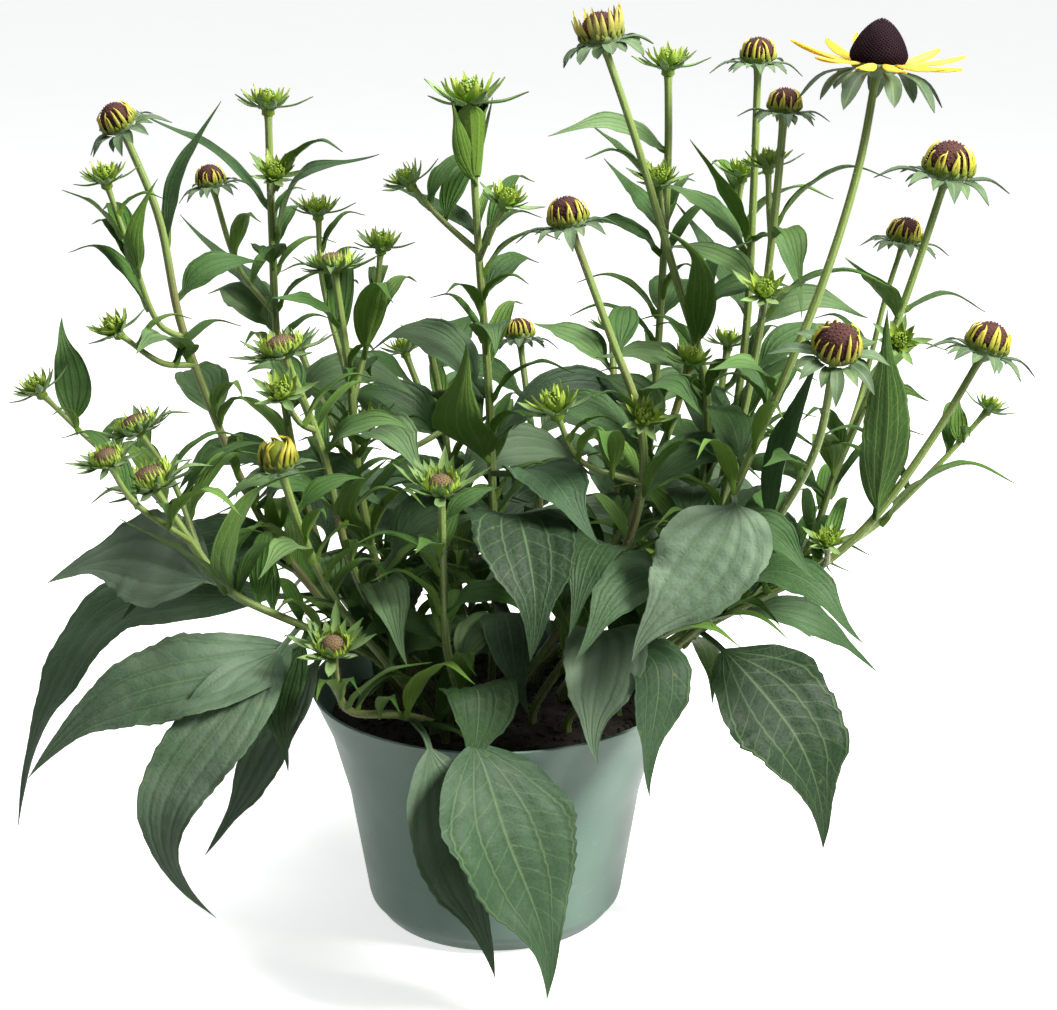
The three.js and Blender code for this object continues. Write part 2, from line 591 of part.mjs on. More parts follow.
// A solid round +Z whose skin runs over rows of points, one in each of its columns, between two on its axis.
// Quads beside an even column lean towards it, on every row alike.
function columned(bottom, rows, top, columns) {
  const points = [0, 0, bottom, ...rows.flatMap((row) => Array.from({ length: columns }, (_, column) => {
    const [radius, height] = row(column);
    const angle = (2 * Math.PI * column) / columns;
    return [radius * Math.cos(angle), radius * Math.sin(angle), height];
  })).flat(), 0, 0, top];
  const last = 1 + rows.length * columns;
  const faces = [];
  for (let a = 0; a < columns; a++) {
    const b = (a + 1) % columns;
    faces.push(0, 1 + b, 1 + a, last, last - columns + a, last - columns + b);
    for (let row = 1; row < last - columns; row += columns) {
      const [low, lowNext, high, highNext] = [row + a, row + b, row + columns + a, row + columns + b];
      if (a % 2) faces.push(low, lowNext, high, lowNext, highNext, high);
      else faces.push(low, lowNext, highNext, low, highNext, high);
    }
  }
  const geometry = new THREE.BufferGeometry();
  geometry.setAttribute("position", new THREE.Float32BufferAttribute(points, 3));
  geometry.setIndex(faces);
  return solidOf(geometry);
}

// The tip of a bract on an even column, no two alike, or the edge of the cup between two bracts.
function bractTips({ count, long, dipDeg }, radius, number) {
  return Array.from({ length: 2 * count }, (_, column) => {
    if (column % 2) return [radius + 0.6, 1.6];
    const reach = long * (column % 4 ? 0.78 : 1) * (0.88 + 0.24 * draw(31 * number + column));
    const dip = THREE.MathUtils.degToRad(dipDeg + 24 * (draw(57 * number + column) - 0.5));
    return [radius + reach * Math.cos(dip), 1.6 - reach * Math.sin(dip)];
  });
}

// The green part of a head: a cup on the stem with its bracts, and round a young disc the rays too.
function greenCup(kind, number) {
  const radius = kind.disc + 2.2;
  const tips = bractTips(kind.bracts, radius, number);
  const even = (value) => () => value;
  const bract = (column) => tips[column];
  const rows = (...all) => columned(-CUP_HEIGHT, all, CUP_HEIGHT, tips.length);
  if (!raysInCup(kind)) return rows(even([radius - 0.8, 0.6]), bract, even([radius - 0.4, CUP_HEIGHT]));
  const tooth = (column) => [radius - 0.6 + kind.lean, CUP_HEIGHT + (column % 2 ? 0.4 : 1) * kind.ray];
  return kind.high ? rows(bract, tooth, even([kind.disc + 0.4, CUP_HEIGHT])) : rows(bract, tooth);
}

function raysInCup(kind) {
  return Boolean(kind.ray) && (kind.high ?? 0) < 5;
}

// A dome of florets, which stand out and back in turn.
function floretDome({ disc, high }, columns, rows) {
  const ring = (row) => (column) => {
    const angle = (Math.PI / 2) * (row / (rows + 0.5));
    const swell = row > 0 && (column + row) % 2 ? 0.91 : 1;
    return [disc * swell * Math.cos(angle) ** 0.75, high * Math.sin(angle)];
  };
  return columned(0, Array.from({ length: rows + 1 }, (_, row) => ring(row)), high, columns);
}

// Young rays that stand round a disc: a ring cut into teeth, which lean out or in over the disc.
function rayCrown({ disc, ray, lean }) {
  const outer = disc + 1.6;
  const tip = outer + lean;
  const band = [[outer, 0], [tip, ray], [tip - RAY_THICKNESS, ray], [disc + 0.5, 0], [outer, 0]];
  const crown = mergedPoints(turned(band, 2 * YOUNG_RAYS), 1e-3);
  const at = crown.attributes.position;
  for (let i = 0; i < at.count; i++) {
    const [x, y] = [at.getX(i), at.getY(i)];
    const column = Math.round((Math.atan2(y, x) / Math.PI) * YOUNG_RAYS);
    if (column % 2 === 0 || at.getZ(i) < ray / 2) continue;
    const back = 1 - ((1 - RAY_NOTCH) * lean) / Math.hypot(x, y);
    at.setXYZ(i, x * back, y * back, RAY_NOTCH * ray);
  }
  return solidOf(crown);
}

// Rays closed over a young disc: a ribbed ball.
function rayBall({ disc, high }) {
  const rib = (radius, height) => (column) => [radius * (column % 2 ? 0.84 : 1), height];
  const rows = [rib(disc, 0), rib(1.06 * disc, 0.45 * high), rib(0.6 * disc, 0.9 * high)];
  return columned(0, rows, high, 2 * YOUNG_RAYS);
}

// An open petal: out from the collar on a bearing, arched, and falling by its dip. A dip below 0 rises.
function petal(bearing, radius, long, dipDeg) {
  const out = new THREE.Vector3(Math.cos(bearing), Math.sin(bearing), 0);
  const fall = long * Math.tan(THREE.MathUtils.degToRad(dipDeg));
  const end = out.clone().multiplyScalar(long).addScaledVector(UP, -fall);
  const root = out.clone().multiplyScalar(radius - 1.2).addScaledVector(UP, 0.8);
  const middle = root.clone().addScaledVector(end, 0.5).addScaledVector(UP, 0.12 * long);
  const leaf = leafOf([root, middle, root.clone().add(end)], PETALS.wide);
  const rings = PETALS.breadths.map(([share, breadth]) => {
    const half = (PETALS.wide / 2) * breadth;
    return bladeRing(leaf.rib.getPointAt(share), ribFrame(leaf, share), half, PETALS.fold, PETAL_THICKNESS);
  });
  return skinned(rings, leaf.points.at(-1));
}

// Open petals round the disc, on the collar that they grow from.
function petals({ disc }, number) {
  const outer = disc + PETALS.collar;
  const inner = disc + 0.4;
  const band = [[outer, 0], [outer, 1.6], [inner, 1.6], [inner, 0], [outer, 0]];
  const collar = solidOf(turned(band, PETALS.count));
  const blades = Array.from({ length: PETALS.count }, (_, k) => {
    const vary = draw(13 * number + k);
    const bearing = (2 * Math.PI * (k + 0.4 * vary)) / PETALS.count;
    const dip = THREE.MathUtils.lerp(PETALS.mostDipDeg, PETALS.leastDipDeg, draw(5 * k + number));
    return petal(bearing, outer, PETALS.long * (0.84 + 0.3 * vary), dip);
  });
  return wasm.Manifold.union([collar, ...blades]);
}

// The solids of a head: the green cup, which belongs to its shoot, and the disc and rays that are its own.
function headSolids(spec, line, number) {
  const kind = HEADS[spec.kind];
  const place = headPlace(spec, line).toArray();
  const seat = CUP_HEIGHT + SEAT_GAP;
  const own = {};
  if (spec.kind === "bloom") own.disc = floretDome(kind, 16, 6);
  else if (kind.high && spec.kind !== "ball") own.disc = floretDome(kind, 8, 2);
  if (spec.kind === "bloom") own.rays = petals(kind, number);
  else if (spec.kind === "ball") own.rays = rayBall(kind);
  else if (!raysInCup(kind)) own.rays = rayCrown(kind);
  return {
    green: greenCup(kind, number).transform(place),
    own: Object.entries(own).map(([part, solid]) => [part, solid.translate(0, 0, seat).transform(place)]),
  };
}

// Pot and soil

// The outside of the pot as [radius, height] points, from its foot to its rim.
const POT_PROFILE = [
  [BASE_RADIUS - 7, 0],
  [BASE_RADIUS, 2],
  [BASE_RADIUS + 4.5, 8],
  [69, 62],
  [77, 92],
  [RIM_RADIUS, POT_HEIGHT],
];
const POT_SEGMENTS = 22;
const POT_FLOOR = 2.4;
const DRAIN = { count: 6, radius: 5.5, ring: 33, sides: 8 };
const SOIL_UNEVEN = 2.4;

// A cylinder round +Z that stands on a height.
function upright(radius, height, sides, [x, y], foot) {
  const cylinder = new THREE.CylinderGeometry(radius, radius, height, sides).rotateX(Math.PI / 2);
  return solidOf(cylinder.translate(x, y, foot + height / 2));
}

function potSolid() {
  const inside = POT_PROFILE.slice(1).reverse().map(([r, h]) => [r - POT_WALL, h]);
  const floor = [[BASE_RADIUS - 2, POT_FLOOR], [0, POT_FLOOR]];
  const profile = [[0, 0], ...POT_PROFILE, ...inside.slice(0, -1), ...floor];
  const holes = Array.from({ length: DRAIN.count }, (_, k) => {
    const angle = (2 * Math.PI * (k + 0.5)) / DRAIN.count;
    const middle = [DRAIN.ring * Math.cos(angle), DRAIN.ring * Math.sin(angle)];
    return upright(DRAIN.radius, 3 * POT_FLOOR, DRAIN.sides, middle, -POT_FLOOR);
  });
  return solidOf(turned(profile, POT_SEGMENTS)).subtract(wasm.Manifold.union(holes));
}

// The soil fills the pot to below its rim, with an uneven top and a plain hole for the foot of each shoot.
function soilSolid(feet) {
  const inset = POT_WALL + SEAT_GAP + 0.3;
  const bottom = POT_FLOOR + SEAT_GAP;
  const side = POT_PROFILE.slice(2).filter(([, h]) => h < SOIL_TOP - 4).map(([r, h]) => [r - inset, h]);
  const edge = 78.9 - inset;
  const top = [[edge, SOIL_TOP - 2.5], [0.62 * edge, SOIL_TOP], [0, SOIL_TOP - 1]];
  const profile = [[0, bottom], [BASE_RADIUS - 4, bottom], ...side, ...top];
  const soil = mergedPoints(turned(profile, POT_SEGMENTS), 1e-3);
  const at = soil.attributes.position;
  for (let i = 0; i < at.count; i++) {
    if (at.getZ(i) > SOIL_TOP - 0.5) at.setZ(i, at.getZ(i) + SOIL_UNEVEN * (draw(i) - 0.5));
  }
  const deepest = SHOOT_START - SEAT_GAP;
  const holes = feet.map((foot) => upright(HOLE_RADIUS, 2 * ROOT_DEPTH, STEM_SIDES, foot, deepest));
  return solidOf(soil).subtract(wasm.Manifold.union(holes));
}

// Growing

// The turns, in degrees, and lifts, in mm, that a leaf tries in this order until it is clear of what stands.
const BENDS = [
  [0, 0], [0, 6], [0, -6], [7, 0], [-7, 0], [7, 6], [-7, 6], [14, 0], [-14, 0], [0, 14], [0, -14],
  [14, 10], [-14, 10], [14, -10], [-14, -10], [22, 0], [-22, 0], [0, 24], [22, 16], [-22, 16],
  [32, 0], [-32, 0], [32, 16], [-32, 16], [32, -16], [-32, -16], [45, 0], [-45, 0], [45, 20],
  [-45, 20], [60, 0], [-60, 0], [60, 24], [-60, 24],
];

// What stands so far, each with its box and its shoot.
const standing = [];

function stand(solid, owner) {
  standing.push({ solid, box: solid.boundingBox(), owner });
}

function boxesMeet(a, b) {
  return [0, 1, 2].every((k) => a.min[k] <= b.max[k] && b.min[k] <= a.max[k]);
}

// Whether a leaf is clear of the floor, of other shoots, and past its first stretch of its own shoot.
function isClear(leaf, owner) {
  const whole = leafSolid(leaf, LEAF_CLEARANCE);
  const past = leafSolid(leaf, LEAF_CLEARANCE, Math.min(0.35, (STEM_RADIUS + 5) / leaf.long));
  const box = whole.boundingBox();
  if (box.min[2] < LOWEST_LEAF) return false;
  const near = standing.filter((s) => boxesMeet(box, s.box));
  return near.every((s) => s.solid.intersect(s.owner === owner ? past : whole).isEmpty());
}

function settled(leaf, owner) {
  for (const [turn, lift] of BENDS) {
    const bent = bentLeaf(leaf, turn, lift);
    if (isClear(bent, owner)) return bent;
  }
  return null;
}

const LOOKS = {
  pot: new THREE.MeshStandardMaterial({ color: 0x86ab98, roughness: 0.55, metalness: 0 }),
  soil: new THREE.MeshStandardMaterial({ color: 0x2a201a, roughness: 1, metalness: 0 }),
  shoot: new THREE.MeshStandardMaterial({ color: 0x4d6b45, roughness: 0.6, metalness: 0 }),
  rays: new THREE.MeshStandardMaterial({ color: 0xb5b53a, roughness: 0.6, metalness: 0 }),
  petals: new THREE.MeshStandardMaterial({ color: 0xf2bd0c, roughness: 0.5, metalness: 0 }),
  disc: new THREE.MeshStandardMaterial({ color: 0x4a2a2c, roughness: 0.9, metalness: 0 }),
};

const plant = new THREE.Group();
const pot = potSolid();
const soil = soilSolid(SHOOTS.map((shoot) => shoot.foot));
plant.add(meshOf("pot", pot, LOOKS.pot), meshOf("soil", soil, LOOKS.soil));
stand(pot, "pot");
stand(soil, "soil");

// Stems and heads stand where the layout puts them.
const shoots = SHOOTS.map((shoot, number) => {
  const trunk = shootLine(shoot);
  const sides = (shoot.sides ?? []).map((spec) => {
    return { spec, line: sideLine(spec, trunk), radius: SIDE_STEM_RADIUS };
  });
  const stems = [{ spec: shoot, line: trunk, radius: STEM_RADIUS }, ...sides];
  const green = stems.flatMap(({ spec, line, radius }, k) => {
    const head = headSolids(spec.head, line, number + 100 * k);
    head.own.forEach(([part, solid]) => {
      const look = spec.head.kind === "bloom" && part === "rays" ? LOOKS.petals : LOOKS[part];
      plant.add(meshOf(`${spec.head.name}_${part}`, solid, look));
      stand(solid, spec.head.name);
    });
    return [stemSolid(line, radius), head.green];
  });
  green.forEach((solid) => stand(solid, shoot.name));
  return { name: shoot.name, stems, green };
});

// The leaves give way to them: those with a place of their own first, and then the spirals.
function grow(leaves, { name, green }) {
  leaves.map((leaf) => settled(leaf, name)).filter(Boolean).forEach((leaf) => {
    const solid = leafSolid(leaf);
    green.push(solid);
    stand(solid, name);
  });
}

shoots.forEach((shoot) => shoot.stems.forEach(({ spec, line }) => {
  grow((spec.leaves ?? []).map((leaf) => placedLeaf(line, leaf)), shoot);
}));
shoots.forEach((shoot) => shoot.stems.filter(({ spec }) => spec.spiral).forEach(({ spec, line }) => {
  grow(spiralLeaves(line, spec.spiral), shoot);
}));

// The pieces of a shoot as one body. Its greatest shell is kept, which fills hollows and drops loose scraps.
function fused(solids) {
  const shells = wasm.Manifold.union(solids).decompose();
  return shells.reduce((most, shell) => (shell.volume() > most.volume() ? shell : most));
}

shoots.forEach(({ name, green }) => plant.add(meshOf(name, fused(green), LOOKS.shoot)));

export default plant;
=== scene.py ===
"""The looks of a potted black-eyed susan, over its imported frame.

The layout of the shoots is the part's own, in mm. Points are turned into metres where meshes are made.
"""
import math

import bmesh
import bpy
import numpy as np
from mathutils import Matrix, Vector, noise
from mathutils.kdtree import KDTree


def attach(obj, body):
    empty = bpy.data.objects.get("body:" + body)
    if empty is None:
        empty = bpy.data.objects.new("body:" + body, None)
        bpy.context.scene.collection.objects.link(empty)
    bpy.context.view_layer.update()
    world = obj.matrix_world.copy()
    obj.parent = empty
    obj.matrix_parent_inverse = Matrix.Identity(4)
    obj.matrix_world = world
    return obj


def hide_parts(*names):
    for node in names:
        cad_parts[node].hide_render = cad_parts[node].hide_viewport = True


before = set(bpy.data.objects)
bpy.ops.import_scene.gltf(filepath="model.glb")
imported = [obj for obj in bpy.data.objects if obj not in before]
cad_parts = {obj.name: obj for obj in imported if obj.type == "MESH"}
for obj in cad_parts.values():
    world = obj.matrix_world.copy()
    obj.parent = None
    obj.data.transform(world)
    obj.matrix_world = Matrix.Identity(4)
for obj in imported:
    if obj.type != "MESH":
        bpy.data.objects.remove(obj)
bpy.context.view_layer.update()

BODY = "root"
MM = 0.001

# The part's driving dimensions, in mm
POT_HEIGHT = 113
POT_WALL = 1.8
SOIL_TOP = 99
SHOOT_START = 71
STEM_RADIUS = 1.85
SIDE_STEM_RADIUS = 1.3
DISC_SEAT = 3.3
GOLDEN_ANGLE = math.radians(137.5)
LIGHT_ROLL = 30
UP = np.array([0.0, 0.0, 1.0])

# The front view that the shoots are laid out on and the eye that sees it, as in the part
PICTURE = (1057, 1010)
MID_U, MID_V, FOCAL = 528.5, 505, 2168
EYE = np.array([16.0, -950.0, 494.0])
TILT = math.radians(17.25)


def seen(point):
    """The place, in mm, of what shows at u, v in the front view and lies y mm behind the pot's axis."""
    u, v, y = point
    right = (u - MID_U) / FOCAL
    up = (MID_V - v) / FOCAL
    forward = math.cos(TILT) + up * math.sin(TILT)
    rise = up * math.cos(TILT) - math.sin(TILT)
    far = (y - EYE[1]) / forward
    return np.array([EYE[0] + right * far, y, EYE[2] + rise * far])


def view_of(point):
    """The place u, v in the front view of a point in mm."""
    x, y, z = point - EYE
    forward = y * math.cos(TILT) - z * math.sin(TILT)
    rise = y * math.sin(TILT) + z * math.cos(TILT)
    return np.array([MID_U + FOCAL * x / forward, MID_V - FOCAL * rise / forward])


# Each shoot stands at its foot and runs through the points of its via to its tip and head. A point in the
# view is [u, v, y]. Along a line, 0 to 2 are its points in and just over the soil, and 3 is via's first.
# A leaf's given tone sets how pale it is and also paints in how lit or dark that leaf looks, as painted
# light and shade.
SHOOTS = [
    {
        "name": "shoot_01", "foot": [-30, -12],
        "via": [[370, 655, -40], [300, 625, -62], [228, 590, -72], [200, 555, -75]], "tip": [152, 485, -78],
        "head": {"kind": "young", "name": "bud_01", "size": 1.1},
        "leaves": [
            {
                "at": 4, "via": [[236, 706, -106], [186, 815, -124]], "tone": 0.6, "sway": 0.09,
                "tip": [216, 918, -116], "width": 34, "stalk": 0.12, "roll": -22,
            },
            {
                "at": 3.7, "via": [[225, 672, -92], [130, 702, -98]], "tone": 0.6, "sway": 0.04,
                "tip": [28, 778, -96], "width": 42, "stalk": 0.12, "roll": -30,
            },
            {
                "at": 3.6, "via": [[270, 745, -68]], "tip": [205, 855, -72], "width": 30, "stalk": 0.12,
                "roll": -20,
            },
            {"at": 3.9, "via": [[278, 715, -84]], "tip": [288, 772, -88], "width": 18, "stalk": 0.1},
            {
                "at": 5.2, "via": [[130, 560, -34]], "tone": 0.8, "tip": [47, 583, -24], "width": 46,
                "stalk": 0.1, "roll": -46,
            },
            {"at": 5, "via": [[175, 548, -92]], "tip": [113, 515, -100], "width": 14},
            {"at": 5, "via": [[226, 545, -100], [252, 492, -98]], "tip": [330, 466, -84], "width": 14},
        ],
        "spiral": {"from": 2.8, "to": 6.6, "count": 3, "long": 54, "wide": 18},
        "sides": [
            {
                "from": 6.2, "via": [[132, 500, -96]], "tip": [108, 462, -104],
                "head": {"kind": "young", "name": "bud_02", "size": 0.75},
            },
            {
                "from": 6, "via": [[172, 480, -48]], "tip": [138, 430, -48],
                "head": {"kind": "young", "name": "bud_03", "size": 0.95},
            },
            {
                "from": 5.8, "via": [[150, 490, -22], [90, 440, -20]], "tip": [40, 392, -20],
                "head": {"kind": "green"},
                "leaves": [{"at": 2.3, "via": [[62, 372, -16]], "tip": [40, 320, -14], "width": 16}],
            },
        ],
    },
    {
        "name": "shoot_02", "foot": [-22, -42], "via": [[400, 715, -64], [352, 712, -74], [338, 690, -86]],
        "tip": [333, 650, -96],
        "head": {"kind": "star", "name": "bud_04", "size": 1.05, "aim": [0.05, -0.42, 0.9]},
        "leaves": [
            {
                "at": 2.6, "via": [[470, 738, -86], [510, 860, -114]], "tone": 0.44, "sway": -0.05,
                "tip": [547, 1000, -126], "width": 64, "stalk": 0.27,
            },
            {
                "at": 2.8, "via": [[428, 742, -88], [452, 865, -100]], "tip": [495, 978, -108], "width": 38,
                "stalk": 0.24,
            },
            {"at": 2.4, "via": [[476, 690, -74]], "tip": [464, 775, -97], "width": 34, "stalk": 0.3},
            {"at": 4.4, "via": [[385, 672, -92]], "tip": [432, 662, -90], "width": 8},
            {"at": 5.4, "tip": [292, 577, -98], "width": 13},
        ],
    },
    {
        "name": "shoot_03", "foot": [-44, 2],
        "via": [[330, 610, -8], [265, 525, -5], [212, 410, 0], [180, 320, 4], [158, 215, 8]],
        "tip": [122, 128, 12],
        "head": {"kind": "bud", "name": "bud_05", "size": 0.95, "aim": [-0.4, -0.25, 0.85]},
        "leaves": [
            {
                "at": 3.2, "via": [[120, 612, -14], [60, 705, -30]], "sway": 0.05, "tip": [18, 825, -34],
                "width": 34, "stalk": 0.1, "roll": -34,
            },
            {"at": 6.7, "via": [[176, 180, 20]], "tip": [221, 101, 30], "width": 10},
        ],
        "spiral": {"from": 3.5, "to": 6.2, "count": 5, "long": 83, "wide": 30, "start": 200},
        "sides": [
            {
                "from": 5.8, "via": [[160, 325, -5], [130, 250, -9]], "tip": [106, 182, -10],
                "head": {"kind": "green"},
                "leaves": [
                    {"at": 2.2, "tip": [60, 157, -18], "width": 9},
                    {"at": 1.7, "via": [[136, 232, -26]], "tip": [158, 178, -24], "width": 9},
                ],
            },
            {"from": 5.5, "via": [[160, 362, -18]], "tip": [117, 332, -24], "head": {"kind": "green"}},
        ],
    },
    {
        "name": "shoot_04", "foot": [-30, 22],
        "via": [[345, 600, 30], [300, 480, 45], [278, 350, 55], [272, 230, 62]], "tip": [268, 108, 66],
        "head": {"kind": "green", "size": 1.2},
        "leaves": [
            {"at": 6.2, "via": [[215, 150, 72]], "tip": [136, 110, 76], "width": 13},
            {"at": 5.9, "via": [[300, 176, 50]], "tip": [379, 154, 36], "width": 13, "roll": 30},
            {"at": 5.35, "via": [[226, 258, 92]], "tip": [180, 214, 98], "width": 12},
        ],
        "spiral": {"from": 3.4, "to": 5.7, "count": 5, "long": 85, "wide": 32, "start": 80},
        "sides": [
            {"from": 6.3, "tip": [275, 176, 44], "head": {"kind": "green"}},
            {
                "from": 5.3, "via": [[240, 270, 62]], "tip": [212, 186, 60],
                "head": {"kind": "bud", "name": "bud_06", "size": 0.8},
            },
        ],
    },
    {
        "name": "shoot_05", "foot": [-16, -2], "via": [[390, 600, -12], [362, 500, -10], [350, 380, -4]],
        "tip": [334, 268, 0], "head": {"kind": "young", "name": "bud_07", "size": 0.95},
        "leaves": [{"at": 3.5, "via": [[338, 505, -44]], "tip": [376, 458, -58], "width": 12}],
        "spiral": {"from": 3.3, "to": 5.5, "count": 5, "long": 78, "wide": 27, "start": 30},
        "sides": [
            {"from": 4.9, "via": [[322, 280, 26]], "tip": [318, 214, 30], "head": {"kind": "green"}},
            {"from": 4.8, "via": [[374, 310, 14]], "tip": [381, 248, 16], "head": {"kind": "green"}},
        ],
    },
    {
        "name": "shoot_06", "foot": [-20, -18], "via": [[392, 640, -28], [350, 560, -36], [322, 450, -42]],
        "tip": [283, 352, -48], "head": {"kind": "young", "name": "bud_08"},
        "leaves": [
            {"at": 3.4, "via": [[399, 615, -58]], "tip": [390, 668, -74], "width": 17, "stalk": 0.16},
        ],
        "spiral": {"from": 3.5, "to": 5.5, "count": 5, "long": 69, "wide": 22, "start": 290},
        "sides": [{"from": 5.2, "tip": [283, 396, -68], "head": {"kind": "green"}}],
    },
    {
        "name": "shoot_07", "foot": [-28, -30], "via": [[385, 660, -48], [335, 600, -60], [305, 540, -68]],
        "tip": [280, 468, -74], "head": {"kind": "ball", "name": "bud_09"},
        "spiral": {"from": 3.2, "to": 5.4, "count": 4, "long": 65, "wide": 19, "start": 330},
    },
    {
        "name": "shoot_08", "foot": [-10, -38], "via": [[447, 650, -60], [443, 570, -70]],
        "tip": [441, 490, -76],
        "head": {"kind": "star", "name": "bud_10", "size": 1.1, "aim": [0.04, -0.3, 0.95]},
        "spiral": {"from": 2.7, "to": 4.6, "count": 6, "long": 54, "wide": 16, "start": 60},
    },
    {
        "name": "shoot_09", "foot": [-2, 8],
        "via": [[495, 600, 8], [492, 480, 6], [488, 380, 4], [479, 260, 2]], "tip": [470, 104, 0],
        "head": {"kind": "green", "size": 1.5},
        "leaves": [
            {
                "at": 3.6, "via": [[520, 522, -72], [530, 590, -98]], "tone": 0.0, "tip": [530, 662, -108],
                "width": 44, "stalk": 0.42,
            },
            {"at": 4.1, "via": [[556, 474, -64]], "tip": [600, 532, -88], "width": 34, "stalk": 0.36},
            {"at": 3, "via": [[512, 634, -50]], "tip": [530, 716, -78], "width": 26, "stalk": 0.3},
            {"at": 4.2, "via": [[455, 420, -26]], "tip": [466, 343, -30], "width": 28, "stalk": 0.1},
            {"at": 6.2, "via": [[400, 205, 22]], "tip": [350, 190, 30], "width": 16},
            {"at": 6.5, "via": [[460, 140, -9]], "tip": [450, 97, -14], "width": 9, "roll": 60},
            {"at": 6.55, "via": [[483, 138, 6]], "tip": [492, 97, 8], "width": 9, "roll": -60},
        ],
        "sheath": {"from": 6.56, "foot": 2.4, "mouth": 6.6},
        "spiral": {"from": 4.4, "to": 5.7, "count": 4, "long": 83, "wide": 24, "start": 0},
        "sides": [
            {
                "from": 6.05, "via": [[440, 218, 8]], "tip": [410, 184, 12], "head": {"kind": "green"},
                "leaves": [{"at": 1.5, "tip": [403, 113, 18], "width": 7}],
            },
            {
                "from": 6, "via": [[490, 235, -10]], "tip": [505, 204, -16], "head": {"kind": "green"},
                "leaves": [{"at": 1.4, "tip": [549, 166, -26], "width": 8}],
            },
        ],
    },
    {
        "name": "shoot_10", "foot": [-12, 32], "via": [[455, 560, 42], [445, 430, 46]],
        "tip": [428, 338, 46], "head": {"kind": "green"},
        "spiral": {"from": 2.8, "to": 4.6, "count": 6, "long": 90, "wide": 35, "start": 100},
        "sides": [{"from": 4, "via": [[400, 450, 34]], "tip": [368, 426, 26], "head": {"kind": "green"}}],
    },
    {
        "name": "shoot_11", "foot": [18, -18],
        "via": [[598, 610, -36], [640, 500, -46], [640, 420, -48], [612, 340, -46]], "tip": [570, 226, -44],
        "head": {"kind": "bud", "name": "bud_11"},
        "leaves": [
            {
                "at": 2.8, "via": [[606, 640, -74]], "tone": 0.75, "tip": [598, 764, -96], "width": 36,
                "stalk": 0.28,
            },
            {
                "at": 2.5, "via": [[655, 662, -70]], "tone": 0.3, "tip": [650, 797, -94], "width": 32,
                "stalk": 0.3,
            },
        ],
        "spiral": {"from": 3.4, "to": 5.8, "count": 5, "long": 78, "wide": 24, "start": 250},
        "sides": [
            {
                "from": 4.2, "via": [[580, 460, -52]], "tip": [556, 412, -54],
                "head": {"kind": "green", "size": 1.2},
            },
            {"from": 5, "tip": [644, 420, -66], "head": {"kind": "green", "size": 0.9}},
        ],
    },
    {
        "name": "shoot_12", "foot": [32, 8],
        "via": [[655, 600, 8], [698, 500, 6], [706, 390, 2], [672, 265, -2], [634, 135, -6]],
        "tip": [603, 43, -8], "head": {"kind": "half", "name": "bud_12"},
        "leaves": [
            {"at": 5, "via": [[735, 360, -22]], "tip": [776, 413, -36], "width": 13},
            {"at": 5.35, "via": [[694, 258, -36]], "tip": [660, 226, -40], "width": 14},
            {"at": 5.4, "via": [[715, 262, 10]], "tip": [752, 240, 16], "width": 14},
        ],
        "spiral": {"from": 3.3, "to": 5.6, "count": 5, "long": 85, "wide": 27, "start": 150},
    },
    {
        "name": "shoot_13", "foot": [20, 32],
        "via": [[625, 580, 40], [650, 440, 46], [662, 280, 50], [668, 150, 52]], "tip": [668, 68, 52],
        "head": {"kind": "green", "size": 1.2},
        "leaves": [
            {"at": 6, "via": [[610, 122, 44]], "tip": [548, 136, 40], "width": 12, "roll": -40},
            {"at": 5.6, "via": [[625, 152, 60]], "tip": [585, 118, 64], "width": 11},
            {"at": 5.35, "via": [[640, 198, 72]], "tip": [604, 158, 80], "width": 13},
        ],
        "spiral": {"from": 3.3, "to": 5.2, "count": 5, "long": 87, "wide": 32, "start": 20},
        "sides": [{"from": 5.4, "tip": [659, 182, 34], "head": {"kind": "green"}}],
    },
    {
        "name": "shoot_14", "foot": [38, 26],
        "via": [[684, 590, 34], [724, 470, 36], [745, 340, 34], [753, 200, 30]], "tip": [758, 63, 26],
        "head": {"kind": "bud", "name": "bud_13", "size": 0.9},
        "leaves": [
            {"at": 5.7, "via": [[715, 175, 20]], "tip": [690, 139, 14], "width": 14},
            {"at": 5.75, "via": [[780, 238, 14]], "tip": [802, 318, 4], "width": 12},
            {"at": 5.2, "via": [[720, 268, 60]], "tip": [674, 200, 66], "width": 13},
        ],
        "spiral": {"from": 3.4, "to": 5.6, "count": 5, "long": 85, "wide": 27, "start": 300},
        "sides": [{"from": 5.6, "via": [[738, 235, 44]], "tip": [742, 176, 48], "head": {"kind": "green"}}],
    },
    {
        "name": "shoot_15", "foot": [42, -4],
        "via": [[692, 600, -8], [730, 470, -14], [758, 340, -18], [774, 220, -18]], "tip": [784, 113, -16],
        "head": {"kind": "bud", "name": "bud_14", "size": 0.85},
        "leaves": [{"at": 5.9, "via": [[793, 240, -36]], "tip": [801, 302, -44], "width": 12}],
        "spiral": {"from": 3.4, "to": 5.4, "count": 4, "long": 81, "wide": 24, "start": 110},
        "sides": [
            {"from": 5.8, "tip": [768, 167, -6], "head": {"kind": "green"}},
            {"from": 5.2, "tip": [765, 294, -40], "head": {"kind": "green"}},
        ],
    },
    {
        "name": "shoot_16", "foot": [34, -28],
        "via": [[668, 630, -42], [712, 540, -52], [768, 415, -56], [822, 285, -52], [858, 170, -46]],
        "tip": [877, 71, -42], "head": {"kind": "bloom", "name": "bloom", "aim": [0.07, 0.03, 1]},
        "leaves": [
            {
                "at": 4.4, "via": [[733, 512, -76], [697, 590, -98]], "tone": 0.74, "sway": 0.06,
                "tip": [632, 662, -106], "width": 48, "stalk": 0.16, "roll": -10,
            },
        ],
        "spiral": {"from": 3.3, "to": 5.2, "count": 4, "long": 83, "wide": 27, "start": 170},
    },
    {
        "name": "shoot_17", "foot": [54, 12],
